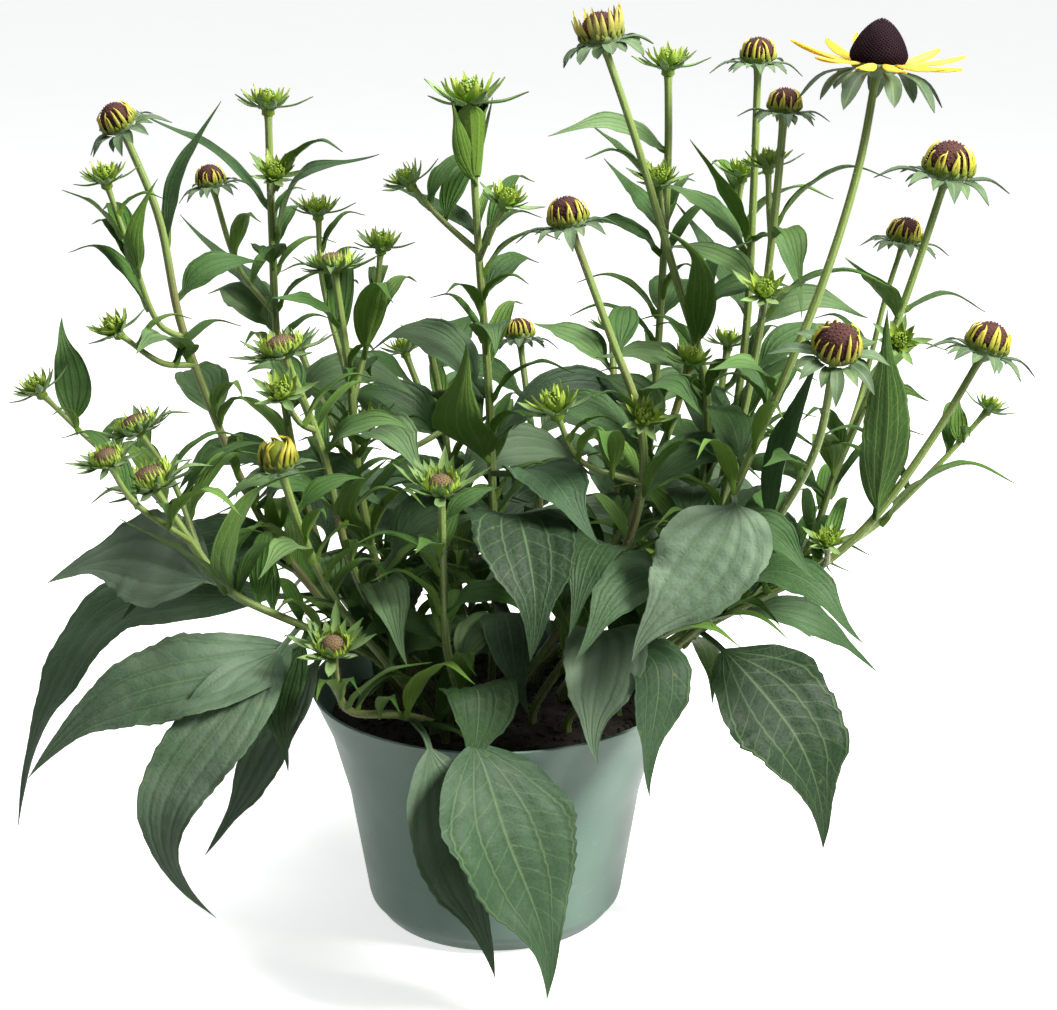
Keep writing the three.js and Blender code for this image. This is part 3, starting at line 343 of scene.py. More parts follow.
        "via": [[705, 620, 18], [795, 568, 24], [838, 465, 26], [870, 392, 26], [912, 280, 24]],
        "tip": [946, 178, 22], "head": {"kind": "bud", "name": "bud_15", "size": 1.32},
        "leaves": [
            {"at": 6.7, "via": [[875, 282, 6]], "tip": [845, 257, -6], "width": 14},
            {"at": 6.75, "via": [[950, 293, 30]], "tip": [986, 312, 34], "width": 6},
        ],
        "spiral": {"from": 3.6, "to": 5.8, "count": 3, "long": 65, "wide": 19, "start": 40},
        "sides": [
            {
                "from": 5, "via": [[860, 398, 42], [886, 296, 46]], "tip": [903, 243, 48],
                "head": {"kind": "bud", "name": "bud_16", "size": 0.95},
            },
            {"from": 6.6, "tip": [899, 342, 8], "head": {"kind": "green", "size": 0.9}},
        ],
    },
    {
        "name": "shoot_18", "foot": [48, -18], "via": [[708, 618, -34], [770, 530, -60], [816, 448, -76]],
        "tip": [835, 354, -86],
        "head": {"kind": "bud", "name": "bud_17", "size": 1.15, "aim": [0.06, -0.5, 0.86]},
        "leaves": [{"at": 3.9, "via": [[785, 440, -54]], "tip": [820, 350, -48], "width": 22}],
        "spiral": {"from": 3.3, "to": 4.7, "count": 3, "long": 67, "wide": 22, "start": 320},
    },
    {
        "name": "shoot_19", "foot": [58, -8],
        "via": [[695, 634, -12], [748, 604, -20], [815, 570, -24], [868, 525, -26], [930, 442, -26]],
        "tip": [984, 353, -24], "head": {"kind": "bud", "name": "bud_18", "size": 1.12},
        "leaves": [
            {
                "at": 3.1, "via": [[724, 650, -26], [790, 735, -50]], "tone": 0.0, "tip": [823, 850, -64],
                "width": 56, "stalk": 0.14, "roll": 18,
            },
            {
                "at": 3.9, "via": [[815, 622, -2]], "tip": [878, 672, 8], "width": 20, "stalk": 0.1,
                "roll": 40,
            },
            {"at": 3, "via": [[706, 655, 20]], "tip": [712, 706, 26], "width": 14},
            {"at": 6.1, "via": [[897, 430, -32]], "tone": 0.0, "tip": [902, 345, -38], "width": 22},
        ],
        "sides": [
            {
                "from": 5.6, "via": [[880, 522, -6], [945, 458, 0]], "tip": [988, 410, 4],
                "head": {"kind": "green", "size": 0.8},
                "leaves": [{"at": 2.3, "tip": [960, 396, 8], "width": 8}],
            },
            {"from": 5.2, "tip": [828, 543, -44], "head": {"kind": "green", "size": 0.8}},
        ],
    },
    {
        "name": "shoot_20", "foot": [8, -8], "via": [[600, 570, -10], [665, 440, -20]],
        "tip": [690, 363, -22], "head": {"kind": "green"},
        "spiral": {"from": 3.1, "to": 4.6, "count": 4, "long": 74, "wide": 24, "start": 220},
    },
    {
        "name": "shoot_21", "foot": [-42, 38], "via": [[385, 560, 84]], "tip": [300, 350, 118],
        "head": {"kind": "green"},
        "spiral": {"from": 2.3, "to": 3.8, "count": 7, "long": 108, "wide": 32, "start": 130},
    },
    {
        "name": "shoot_22", "foot": [-14, 54], "via": [[470, 530, 96]], "tip": [405, 352, 136],
        "head": {"kind": "green"},
        "spiral": {"from": 2.3, "to": 3.8, "count": 7, "long": 108, "wide": 32, "start": 100},
    },
    {
        "name": "shoot_23", "foot": [14, 58], "via": [[540, 530, 98]], "tip": [520, 340, 142],
        "head": {"kind": "bud", "name": "bud_19", "size": 0.9},
        "spiral": {"from": 2.3, "to": 3.7, "count": 7, "long": 108, "wide": 32, "start": 70},
    },
    {
        "name": "shoot_24", "foot": [40, 48], "via": [[615, 530, 90]], "tip": [612, 330, 130],
        "head": {"kind": "green"},
        "spiral": {"from": 2.3, "to": 3.8, "count": 7, "long": 104, "wide": 32, "start": 40},
    },
    {
        "name": "shoot_25", "foot": [60, 28], "via": [[690, 560, 66]], "tip": [728, 345, 104],
        "head": {"kind": "green"},
        "spiral": {"from": 2.4, "to": 3.8, "count": 6, "long": 96, "wide": 31, "start": 20},
    },
]

# The turns, in degrees, and lifts, in mm, by which the part bends a leaf clear of what stands near it.
BENDS = [
    (0, 0), (0, 6), (0, -6), (7, 0), (-7, 0), (7, 6), (-7, 6), (14, 0), (-14, 0), (0, 14), (0, -14),
    (14, 10), (-14, 10), (14, -10), (-14, -10), (22, 0), (-22, 0), (0, 24), (22, 16), (-22, 16),
    (32, 0), (-32, 0), (32, 16), (-32, 16), (32, -16), (-32, -16), (45, 0), (-45, 0), (45, 20),
    (-45, 20), (60, 0), (-60, 0), (60, 24), (-60, 24),
]

# The long veins on each side of a leaf's midrib: the share of the half width that each makes for, and how
# slowly it gets there from VEIN_START of it. The outer one stops at VEIN_END, by the edge.
VEINS = [(0.5, 0.22), (1.15, 0.3)]
VEIN_START = 0.25
VEIN_END = 0.94

# The materials of a shoot's piece, in their order
LEAF_TOP, LEAF_UNDER, STEM, BRACT, HAIR, YOUNG_GREEN = range(6)

# How finely leaves and stems are divided, in mm: a leaf's rows, fewest and most, and closer ones in a wide
# leaf, then the columns between two veins of a leaf that is narrower than a width.
LEAF_ROW = 2.35
LEAF_ROWS = (14, 76)
WIDE_LEAF = {"width": 40, "row": 1.7}
LEAF_COLUMNS = [(12, 1), (17, 2), (40, 3), (math.inf, 4)]
STEM_ROW = 3.2
STEM_RIBS = 7
HAIRS_PER_MM = 2.6

# The length of a tooth on a leaf's edge, which is also the step of its side veins, and the width that a
# leaf with teeth is over.
TOOTH = 8.5
TOOTHED_WIDTH = 17

# Slight leaves: the share of a stem where they start, the stem's length for each, the sides that each tries
# and the room that it needs. None comes closer than HEAD_REACH pixels to a head that it would cover.
SLIGHT_LEAVES = {"first": 0.2, "step": 12, "tries": 7, "room": 4}
HEAD_REACH = 24


def draw(n):
    """A repeatable draw from 0 to 1 for a whole number, the same as the part's."""
    a = ((n + 1) * 0x9E3779B1) & 0xFFFFFFFF
    b = ((a ^ (a >> 15)) * 0x85EBCA6B) & 0xFFFFFFFF
    return (b ^ (b >> 13)) / 4294967296


def unit(v):
    return v / np.linalg.norm(v)


def circle(radius, sides, middle=(0, 0)):
    """Points round a level circle, as x and y."""
    angles = 2 * np.pi * np.arange(sides) / sides
    return [(middle[0] + radius * math.cos(a), middle[1] + radius * math.sin(a)) for a in angles]


def turned_about(v, axis, angle):
    """A vector turned about a unit axis by an angle in radians."""
    cross = np.cross(axis, v)
    return v * math.cos(angle) + cross * math.sin(angle) + axis * (axis @ v) * (1 - math.cos(angle))


class Line:
    """A centripetal Catmull-Rom curve through points, the same as the part's."""

    def __init__(self, points):
        self.points = np.array(points, float)
        before = 2 * self.points[0] - self.points[1]
        after = 2 * self.points[-1] - self.points[-2]
        p = np.vstack([before, self.points, after])
        step = np.linalg.norm(np.diff(p, axis=0), axis=1) ** 0.5
        self.spans = []
        for k in range(len(self.points) - 1):
            x0, x1, x2, x3 = p[k:k + 4]
            d0, d1, d2 = step[k:k + 3]
            t1 = ((x1 - x0) / d0 - (x2 - x0) / (d0 + d1) + (x2 - x1) / d1) * d1
            t2 = ((x2 - x1) / d1 - (x3 - x1) / (d1 + d2) + (x3 - x2) / d2) * d1
            self.spans.append((x1, t1, -3 * x1 + 3 * x2 - 2 * t1 - t2, 2 * x1 - 2 * x2 + t1 + t2))
        self.spans = np.array(self.spans)
        parts = np.linspace(0, 1, 201)
        run = np.linalg.norm(np.diff(self.at(parts), axis=0), axis=1)
        self.runs = np.concatenate([[0], np.cumsum(run)])
        self.parts = parts
        self.long = self.runs[-1]

    def at(self, t):
        """Points at parameters from 0 to 1."""
        place = np.atleast_1d(t) * len(self.spans)
        k = np.clip(np.floor(place).astype(int), 0, len(self.spans) - 1)
        w = (place - k)[:, None]
        c = self.spans[k]
        return c[:, 0] + c[:, 1] * w + c[:, 2] * w ** 2 + c[:, 3] * w ** 3

    def ways(self, t):
        """Unit tangents at parameters from 0 to 1."""
        t = np.atleast_1d(t)
        d = self.at(np.minimum(t + 1e-4, 1)) - self.at(np.maximum(t - 1e-4, 0))
        return d / np.linalg.norm(d, axis=1)[:, None]

    def along(self, shares):
        """Parameters at shares of the curve's length."""
        return np.interp(np.atleast_1d(shares) * self.long, self.runs, self.parts)

    def on(self, place):
        """The point at a place that is counted in the curve's points."""
        return self.at(place / len(self.spans))[0]


def shoot_line(shoot):
    x, y = shoot["foot"]
    foot = [(x, y, z) for z in (SHOOT_START, SOIL_TOP - 3, SOIL_TOP + 5)]
    return Line(foot + [seen(p) for p in shoot["via"]] + [seen(shoot["tip"])])


def side_line(side, parent):
    """A side shoot's line, which sags a little where it has no points of its own."""
    root = parent.on(side["from"])
    end = seen(side["tip"])
    middle = [seen(p) for p in side.get("via", [])]
    if not middle:
        middle = [(root + end) / 2 - UP * 0.12 * np.linalg.norm(end - root)]
    return Line([root, *middle, end])


class Leaf:
    """A leaf's rib, greatest width, stalk's share of its length, and roll about its rib in degrees.

    Its tone is how pale it is, and the tones given for some leaves in SHOOTS also hold painted light and
    shade: how lit or dark each of those leaves looks. Its sway is how far it bows aside before its tip, as
    a share of its length.
    """

    def __init__(self, points, width, stalk=0.05, roll=0, number=0, tone=None, sway=None):
        self.points = [np.array(p, float) for p in points]
        self.width = width
        self.stalk = stalk
        self.roll = roll
        self.number = number
        self.tone = 0.15 + 0.6 * draw(7 * number + 3) if tone is None else tone
        self.sway = 0.1 * (draw(11 * number + 5) - 0.5) if sway is None else sway
        self.line = Line(points)

    def bent(self, turn, lift):
        root = self.points[0]
        last = len(self.points) - 1
        angle = math.radians(turn)
        points = [
            turned_about(p - root, UP, angle) + root + UP * lift * k / last
            for k, p in enumerate(self.points)
        ]
        return Leaf(points, self.width, self.stalk, self.roll, self.number, self.tone, self.sway)

    def frames(self, shares):
        """At shares of the length: points of the rib, and the ways across it, along it and off its face."""
        t = self.line.along(shares)
        along = self.line.ways(t)
        root, first = self.points[:2]
        heading = self.points[-1] + first - 2 * root
        heading[2] = 0
        heading = unit(heading)
        level = np.array([heading[1], -heading[0], 0.0])
        across = level - along * (along @ level)[:, None]
        across /= np.linalg.norm(across, axis=1)[:, None]
        roll = math.radians(self.roll)
        turned = across * math.cos(roll) + np.cross(along, across) * math.sin(roll)
        return self.line.at(t), turned, along, np.cross(turned, along)


def placed_leaf(line, spec, number):
    root = line.on(spec["at"])
    end = seen(spec["tip"])
    middle = [seen(p) for p in spec.get("via", [])]
    if not middle:
        middle = [(root + end) / 2 + UP * 0.1 * np.linalg.norm(end - root)]
    rib = [root, *middle, end]
    stalk, roll = spec.get("stalk", 0.05), spec.get("roll", 0)
    return Leaf(rib, spec["width"], stalk, roll, number, spec.get("tone"), spec.get("sway"))


def spiral_leaves(line, spec, number):
    """Leaves up a stem, each turned on from the last by the golden angle, by the part's own rule."""
    count, start = spec["count"], spec.get("start", 0)
    leaves = []
    for k in range(count):
        share = k / (count - 1)
        size = spec["long"] * (1 - 0.45 * share) * (0.9 + 0.2 * draw(k + start))
        bearing = math.radians(start) + GOLDEN_ANGLE * k
        out = np.array([math.cos(bearing), math.sin(bearing), 0.0])
        root = line.on(spec["from"] + (spec["to"] - spec["from"]) * share)
        droop = 0.38 * (1 - share) - 0.22 * draw(3 * k + start)
        steps = [(0, 0), (0.3, 0.24), (0.62, 0.3 - 0.3 * droop), (0.92, 0.2 - droop)]
        points = [root + out * size * far + UP * size * high for far, high in steps]
        width = spec["wide"] * size / spec["long"]
        leaves.append(Leaf(points, width, 0.12, LIGHT_ROLL * out[0], number + 40 + k))
    return leaves


def covers(points, heads):
    """Whether a leaf's points come before a head in the front view."""
    places = [view_of(p) for p in points]
    return any(
        p[1] < head[1] and math.hypot(*(place - view_of(head))) < HEAD_REACH
        for head in heads for p, place in zip(points, places)
    )


def slight_leaves(line, number, crowd, heads, last):
    """Narrow young leaves up a stem, each turned to the side where it has the most room."""
    first = SLIGHT_LEAVES["first"]
    count = int(line.long * (last - first) / SLIGHT_LEAVES["step"])
    leaves = []
    for k in range(count):
        share = first + (last - first) * (k + draw(number + k)) / count
        root = line.at(line.along(share))[0]
        long = (32 + 26 * draw(3 * number + k)) * (1.35 - 0.85 * share)
        rise = 0.2 + 0.5 * draw(5 * number + k)
        room, best = 0, None
        for step in range(SLIGHT_LEAVES["tries"]):
            bearing = GOLDEN_ANGLE * k + number + 2 * math.pi * step / SLIGHT_LEAVES["tries"]
            out = np.array([math.cos(bearing), math.sin(bearing), 0.0])
            steps = [(0, 0), (0.28, 0.2 + 0.3 * rise), (0.62, 0.24 + 0.6 * rise), (0.95, 0.1 + 0.7 * rise)]
            points = [root + out * long * far + UP * long * high for far, high in steps]
            clear = min(crowd.find(Vector(p))[2] for p in points[2:])
            if clear > room and not covers(points[1:], heads):
                room, best = clear, points
        if room > SLIGHT_LEAVES["room"]:
            broad = long * (0.15 + 0.12 * draw(number + 9 * k))
            leaves.append(Leaf(best, broad, 0.06, 0, number + 60 + k))
    return leaves


def blade_breadth(share):
    """A blade's breadth at shares of its length: widest below the middle, with a drawn-out tip."""
    full = np.sin(np.pi * np.clip(share, 0, 1) ** 0.63).clip(0) ** 1.15
    return full * (1 - 0.3 * np.sin(np.pi * np.clip(2.6 * share - 1.6, 0, 1)))


class Surface:
    """Faces gathered for one object, in mm. A point has a place on its blade or stem, an age and a tint."""

    def __init__(self):
        self.points, self.places, self.ages, self.tints = [], [], [], []
        self.faces = {3: [], 4: []}
        self.looks = {3: [], 4: []}
        self.count = 0

    def add(self, points, faces, look, places=None, age=0.0, tint=0.5):
        points = np.asarray(points, float).reshape(-1, 3)
        faces = np.asarray(faces, int)
        n = len(points)
        self.points.append(points)
        self.places.append(np.zeros((n, 2)) if places is None else np.asarray(places, float).reshape(-1, 2))
        self.ages.append(np.broadcast_to(age, n).astype(float))
        self.tints.append(np.broadcast_to(tint, n).astype(float))
        self.faces[faces.shape[1]].append(faces + self.count)
        self.looks[faces.shape[1]].append(np.full(len(faces), look))
        self.count += n

    def made(self, name, materials):
        """The object, in metres, with a material for each look."""
        points = np.vstack(self.points) * MM
        sets = [np.vstack(self.faces[k]) for k in (4, 3) if self.faces[k]]
        looks = np.concatenate([np.concatenate(self.looks[k]) for k in (4, 3) if self.looks[k]])
        corners = np.concatenate([f.ravel() for f in sets])
        sizes = np.concatenate([np.full(len(f), f.shape[1]) for f in sets])
        starts = np.concatenate([[0], np.cumsum(sizes)[:-1]])
        mesh = bpy.data.meshes.new(name)
        mesh.vertices.add(len(points))
        mesh.vertices.foreach_set("co", points.ravel())
        mesh.loops.add(len(corners))
        mesh.loops.foreach_set("vertex_index", corners)
        mesh.polygons.add(len(sizes))
        mesh.polygons.foreach_set("loop_start", starts)
        mesh.polygons.foreach_set("material_index", looks)
        mesh.polygons.foreach_set("use_smooth", np.ones(len(sizes), bool))
        mesh.update(calc_edges=True)
        mesh.uv_layers.new(name="place").data.foreach_set("uv", np.vstack(self.places)[corners].ravel())
        for key, values in (("age", self.ages), ("tint", self.tints)):
            mesh.attributes.new(key, "FLOAT", "POINT").data.foreach_set("value", np.concatenate(values))
        for material in materials:
            mesh.materials.append(material)
        piece = bpy.data.objects.new(name, mesh)
        bpy.context.scene.collection.objects.link(piece)
        return piece


def grid_faces(rows, columns, closed=False, turned=False):
    """Quads over a grid of points in rows, which may close round, and face the other way if turned."""
    a = np.arange(rows - 1)[:, None] * columns + np.arange(columns if closed else columns - 1)
    b = a + 1
    if closed:
        b = a - np.arange(columns) + (np.arange(columns) + 1) % columns
    quads = np.stack([a, b, b + columns, a + columns], -1).reshape(-1, 4)
    return quads[:, ::-1] if turned else quads


def vein_places(shares):
    """The places of the long veins, as shares of the half width, at shares of a blade's length."""
    places = []
    for reach, slow in VEINS:
        place = reach * (1 - (1 - VEIN_START) * np.exp(-shares / slow))
        places.append(np.minimum(place, VEIN_END))
    return places


def blade_columns(blade, parts):
    """Where a blade's columns lie at each share of its length, and how far each is between two veins."""
    anchors = [np.zeros_like(blade), *vein_places(blade), np.ones_like(blade)]
    columns, between = [], []
    for low, high in zip(anchors[:-1], anchors[1:]):
        for k in range(parts):
            columns.append(low + (high - low) * k / parts)
            between.append(k / parts)
    side = np.stack(columns + [anchors[-1]], 1)
    off = np.array(between + [0.85])
    return np.hstack([-side[:, :0:-1], side]), np.concatenate([off[:0:-1], off])


def add_leaf(surface, leaf, age):
    """A leaf: a channelled stalk and a blade, quilted between its veins, with a toothed and waved edge."""
    rng = np.random.default_rng(7000 + leaf.number)
    long = leaf.line.long
    step = WIDE_LEAF["row"] if leaf.width > WIDE_LEAF["width"] else LEAF_ROW
    rows = int(np.clip(long / step, *LEAF_ROWS))
    shares = np.linspace(0, 1, rows) ** 0.96
    middle, across, _, face = leaf.frames(shares)
    blade = np.clip((shares - leaf.stalk) / (1 - leaf.stalk), 0, 1)
    c, off = blade_columns(blade, next(parts for width, parts in LEAF_COLUMNS if leaf.width < width))
    size = np.abs(c)
    half = leaf.width / 2 * blade_breadth(blade)
    if leaf.width > TOOTHED_WIDTH:
        saw = (blade * long / TOOTH + rng.random()) % 1
        half *= 1 + 0.06 * (0.5 - saw) * np.clip(blade * 6 - 1.2, 0, 1) * np.clip((1 - blade) * 5, 0, 1)
    half = np.maximum(half, 1.15 * np.clip(1 - blade * 14, 0, 1) + 0.12)
    half[-1] = 0.05
    ends = np.clip(blade * 6, 0, 1) * np.clip(5 * (1 - blade), 0, 1)
    rise = 0.16 * half[:, None] * size ** 1.4 * np.clip(blade * 8, 0, 1)[:, None]
    # Side veins cross the pads between the long veins, slanting towards the tip.
    phase = 2 * np.pi * (blade * long / TOOTH)[:, None] - 13 * size + rng.random() * 6
    room = np.abs(np.gradient(c, axis=1)) * half[:, None]
    pads = np.sin(np.pi * off)[None, :] ** 0.8 * (0.8 + 0.2 * np.cos(phase))
    rise += np.minimum(0.075 * half[:, None] + 0.1, 0.6 * room) * pads * ends[:, None]
    turns = rng.uniform(1.6, 2.8)
    for side in (-1, 1):
        wave = np.sin(2 * np.pi * (turns * blade + rng.random())) * 0.09 * half
        wave += np.sin(2 * np.pi * (2.3 * turns * blade + rng.random())) * 0.035 * half
        rise += wave[:, None] * np.clip(side * c, 0, 1) ** 2
    rise -= (0.5 * np.clip(1 - blade * 10, 0, 1))[:, None] * (1 - c ** 2)
    # The blade bows to one side before its tip, which hooks back.
    sway = leaf.sway * long * 2.2 * blade ** 2.5 * np.sin(np.pi * blade)
    top = middle[:, None] + across[:, None] * (c * half[:, None] + sway[:, None])[..., None]
    top = top + face[:, None] * rise[..., None]
    thick = np.interp(blade, [0, 0.08, 1], [1.5, 0.55, 0.35])[:, None] * (1 - 0.85 * size ** 6)
    thick = thick + 0.9 * np.exp(-(c * half[:, None] / 0.9) ** 2) * (1 - blade)[:, None]
    under = top - face[:, None] * thick[..., None]
    places = np.stack(np.broadcast_arrays(c, blade[:, None]), -1)
    columns = c.shape[1]
    surface.add(top, grid_faces(rows, columns, turned=True), LEAF_TOP, places, age, leaf.tone)
    surface.add(under, grid_faces(rows, columns), LEAF_UNDER, places, age, leaf.tone)
    for column in (0, columns - 1):
        edge = np.stack([top[:, column], under[:, column]], 1)
        place = np.stack([places[:, column], places[:, column]], 1)
        surface.add(edge, grid_faces(rows, 2, turned=column > 0), LEAF_UNDER, place, age, leaf.tone)


def ring_frames(line, t):
    """Ways to the side and front of a stem at parameters of its line, turned as little as may be."""
    side = np.array([1.0, 0.0, 0.0])
    sides, fronts = [], []
    for way in line.ways(t):
        side = unit(side - way * (way @ side))
        sides.append(side)
        fronts.append(np.cross(way, side))
    return np.array(sides), np.array(fronts)


def add_stem(surface, line, radius, number, ages):
    """A ribbed stem that tapers a little and widens under its head."""
    rng = np.random.default_rng(900 + number)
    rows = int(line.long / STEM_ROW) + 4
    sides = 2 * STEM_RIBS
    shares = np.linspace(0, 1, rows)
    t = line.along(shares)
    side, front = ring_frames(line, t)
    angle = 2 * np.pi * np.arange(sides) / sides
    rib = 1 + 0.075 * np.cos(STEM_RIBS * angle)
    taper = radius * (1.08 - 0.2 * shares) + 0.8 * np.clip((shares - 1) * line.long / 9 + 1, 0, 1) ** 2
    taper *= 1 + 0.04 * np.sin(9 * shares + rng.random() * 6)
    ring = taper[:, None] * rib[None, :]
    points = line.at(t)[:, None] + side[:, None] * (ring * np.cos(angle))[..., None]
    points = points + front[:, None] * (ring * np.sin(angle))[..., None]
    around = np.arange(sides) / sides
    places = np.stack(np.broadcast_arrays(around, shares[:, None] * line.long / 100), -1)
    age = np.repeat(np.interp(shares, [0, 1], ages), sides)
    surface.add(points, grid_faces(rows, sides, closed=True), STEM, places, age, rng.random())
    add_hairs(surface, line, taper, shares, rng)


def add_hairs(surface, line, radius, shares, rng):
    """Fine hairs that stand off a stem."""
    count = int(line.long * HAIRS_PER_MM)
    where = rng.random(count)
    t = line.along(where)
    centre = line.at(t)
    way = line.ways(t)
    out = rng.normal(size=(count, 3))
    out -= way * np.sum(out * way, 1)[:, None]
    out /= np.linalg.norm(out, axis=1)[:, None]
    root = centre + out * (np.interp(where, shares, radius) * 0.96)[:, None]
    long = rng.uniform(0.9, 1.9, count)[:, None]
    tip = root + (out + way * rng.normal(0, 0.35, (count, 1))) * long
    half = np.cross(out, way) * 0.055
    points = np.stack([root - half, root + half, tip], 1).reshape(-1, 3)
    surface.add(points, np.arange(3 * count).reshape(-1, 3), HAIR, age=0.5)

# What each kind of head carries, in mm and degrees: its disc's radius and height, the length and number of
# its rays, and how many bracts it has, how far they reach, how they dip and how wide they are.
HEADS = {
    "bloom": {"disc": 12.2, "high": 18, "bracts": 9, "reach": 23, "dip": 48, "wide": 8.4},
    "half": {
        "disc": 8.8, "high": 10, "ray": 12, "rays": 20,
        "bracts": 9, "reach": 13, "dip": 38, "wide": 6,
    },
    "bud": {
        "disc": 7.8, "high": 9.4, "ray": 8.4, "rays": 17,
        "bracts": 8, "reach": 14, "dip": 26, "wide": 5.4,
    },
    "young": {
        "disc": 6.4, "high": 4, "ray": 6.4, "rays": 24,
        "bracts": 8, "reach": 15, "dip": -4, "wide": 4.8,
    },
    "star": {
        "disc": 4.4, "high": 3, "ray": 5.4, "rays": 19,
        "bracts": 8, "reach": 15, "dip": -30, "wide": 4.6,
    },
    "ball": {
        "disc": 7.2, "high": 10.4, "ray": 9, "rays": 15,
        "bracts": 7, "reach": 7, "dip": 20, "wide": 3.8,
    },
    "green": {"disc": 3.6, "ray": 5.4, "rays": 7, "bracts": 5, "reach": 11, "dip": -18, "wide": 4.2},
}

# A disc lower than this is a young one, whose rays are still green.
YOUNG_HIGH = 5

# How green and yellow the bracts of a young kind of head are, where those of the others are dark
YOUTH = {"green": 1.0, "star": 0.85, "young": 0.6}
OLD_YOUTH = 0.12
SCALES = 16
PETALS = {"count": 12, "long": 22.5, "wide": 7.4, "collar": 2.4, "least_dip": -22, "most_dip": 3}

# Shares of a petal's length, and its breadth there as a share of the greatest
PETAL_BREADTH = ([0, 0.1, 0.3, 0.55, 0.78, 0.93, 1], [0.45, 0.65, 0.92, 1, 0.78, 0.42, 0.1])


class Head:
    """A head's own space, round +Z with its stem ending at the origin, and its place in the part."""

    def __init__(self, spec, line, number):
        self.spec = spec
        self.kind = HEADS[spec["kind"]]
        self.number = number
        self.size = spec.get("size", 1)
        way = line.ways(1.0)[0]
        facing = Vector(spec["aim"]) if "aim" in spec else Vector(way * 0.6 + UP * 0.4)
        turn = Vector((0, 0, 1)).rotation_difference(facing.normalized())
        self.matrix = np.array(turn.to_matrix())
        self.end = line.points[-1]

    def placed(self, points):
        return (np.asarray(points, float) * self.size) @ self.matrix.T + self.end

    def around(self, angle, radius, height, aside=0):
        """A point at an angle, radius and height, set aside round the head by so much."""
        out = np.array([math.cos(angle), math.sin(angle), 0])
        round_ = np.array([-math.sin(angle), math.cos(angle), 0])
        return out * radius + round_ * aside + UP * height


def add_strip(surface, head, rib, width_at, look, age, tint, rows=9, columns=5, cup=0.22, thick=0.35,
              level=None, part=1.0):
    """Both sides of a small blade along a rib in a head's space, cupped across.

    It lies level if it is given a way to, and its colours go up to a part of those of a whole blade.
    """
    line = Line(rib)
    shares = np.linspace(0, 1, rows)
    t = line.along(shares)
    along = line.ways(t)
    middle = line.at(t)
    across = np.cross(along, UP) if level is None else np.broadcast_to(level, along.shape)
    across = across - along * np.sum(across * along, 1)[:, None]
    across = across / np.maximum(np.linalg.norm(across, axis=1), 1e-6)[:, None]
    face = np.cross(across, along)
    half = width_at(shares) / 2
    c = np.linspace(-1, 1, columns)
    rise = cup * half[:, None] * c[None, :] ** 2
    top = middle[:, None] + across[:, None] * (c[None, :] * half[:, None])[..., None]
    top = top + face[:, None] * rise[..., None]
    under = top - face[:, None] * (thick * (1 - 0.8 * c ** 4))[None, :, None]
    places = np.stack(np.broadcast_arrays(c[None, :], part * shares[:, None]), -1)
    for points, flip in ((top, True), (under, False)):
        faces = grid_faces(rows, columns, turned=flip)
        surface.add(head.placed(points.reshape(-1, 3)), faces, look, places, age, tint)


# The outline of bracts: the breadth at the foot and how much more the belly has, the share of a sine that
# it runs through and where that starts, how blunt the tip is, and the two powers that draw the tip in.
BRACT_FORMS = {
    "half": (0.5, 0.5, 0.85, 0, 0.02, 7, 0.6),
    "bloom": (0.36, 0.6, 0.82, 0, 0.01, 5, 0.8),
    "young": (0.35, 0.68, 0.8, 0.1, 0.005, 3, 0.9),
}


def bract_width(wide, kind):
    """A bract: narrow where it starts and broad in its middle, with a blunt or a drawn-out tip."""
    foot, belly, run, first, blunt, power, taper = BRACT_FORMS.get(kind, BRACT_FORMS["young"])

    def width(s):
        full = foot + belly * np.sin(np.pi * np.clip(s * run + first, 0, 1))
        return wide * full * (1 + blunt - s ** power) ** taper

    return width


def add_bracts(surface, head):
    """The bracts of a head: the part's own whorl, and shorter ones between and above them."""
    kind = head.kind
    name = head.spec["kind"]
    radius = kind["disc"] + 2.2
    count = kind["bracts"]
    young = YOUTH.get(name, OLD_YOUTH)
    for place in range(4 * count if 0.5 < young < 1 else 2 * count):
        whorl = place // (2 * count) + place % 2
        angle = math.pi * (place + 0.5 * (whorl > 1)) / count
        vary = draw(31 * head.number + place)
        dip = math.radians(kind["dip"] + 24 * (draw(57 * head.number + place) - 0.5))
        reach = kind["reach"] * (0.78 if place % 4 else 1) * (0.88 + 0.24 * vary)
        if whorl > 0:
            if name == "bloom" and vary > 0.35:
                continue
            reach *= 0.9 - 0.2 * whorl
            lift = 20 * whorl if young > 0.5 else -10
            dip += math.radians(-lift + 36 * (draw(19 * place + head.number) - 0.5))
        start = head.around(angle, radius - 2.8, 0.2 - 0.5 * (whorl > 0))
        aside = (0.12 if whorl == 0 else 0.4) * reach * (draw(place + head.number) - 0.5)
        end = head.around(angle, radius + reach * math.cos(dip), 1.6 - reach * math.sin(dip), aside)
        bow = 0.17 * reach if dip > 0 else -0.1 * reach
        middle = (start + end) / 2 + UP * bow
        width = bract_width(kind["wide"] * (1 - 0.14 * whorl), name)
        age = min(young + 0.15 * whorl, 1)
        add_strip(surface, head, [start, middle, end], width, BRACT, age, draw(place + 7 * head.number))


def add_cup(surface, head):
    """The green cup under the disc."""
    radius = head.kind["disc"] + (-0.8 if head.spec["kind"] == "bloom" else 0.4)
    rows = [(1.4, -3.4), (2.6, -2.4), (0.62 * radius, -0.9), (0.9 * radius, 0.8), (radius, 2.4)]
    rows += [(radius - 0.6, 3.4), (0.3, 3.3)]
    sides = 24
    points = [[(x, y, z) for x, y in circle(r, sides)] for r, z in rows]
    faces = grid_faces(len(rows), sides, closed=True)
    look = YOUNG_GREEN if head.kind.get("high", 0) < YOUNG_HIGH else BRACT
    surface.add(head.placed(np.array(points).reshape(-1, 3)), faces, look, age=0.5)


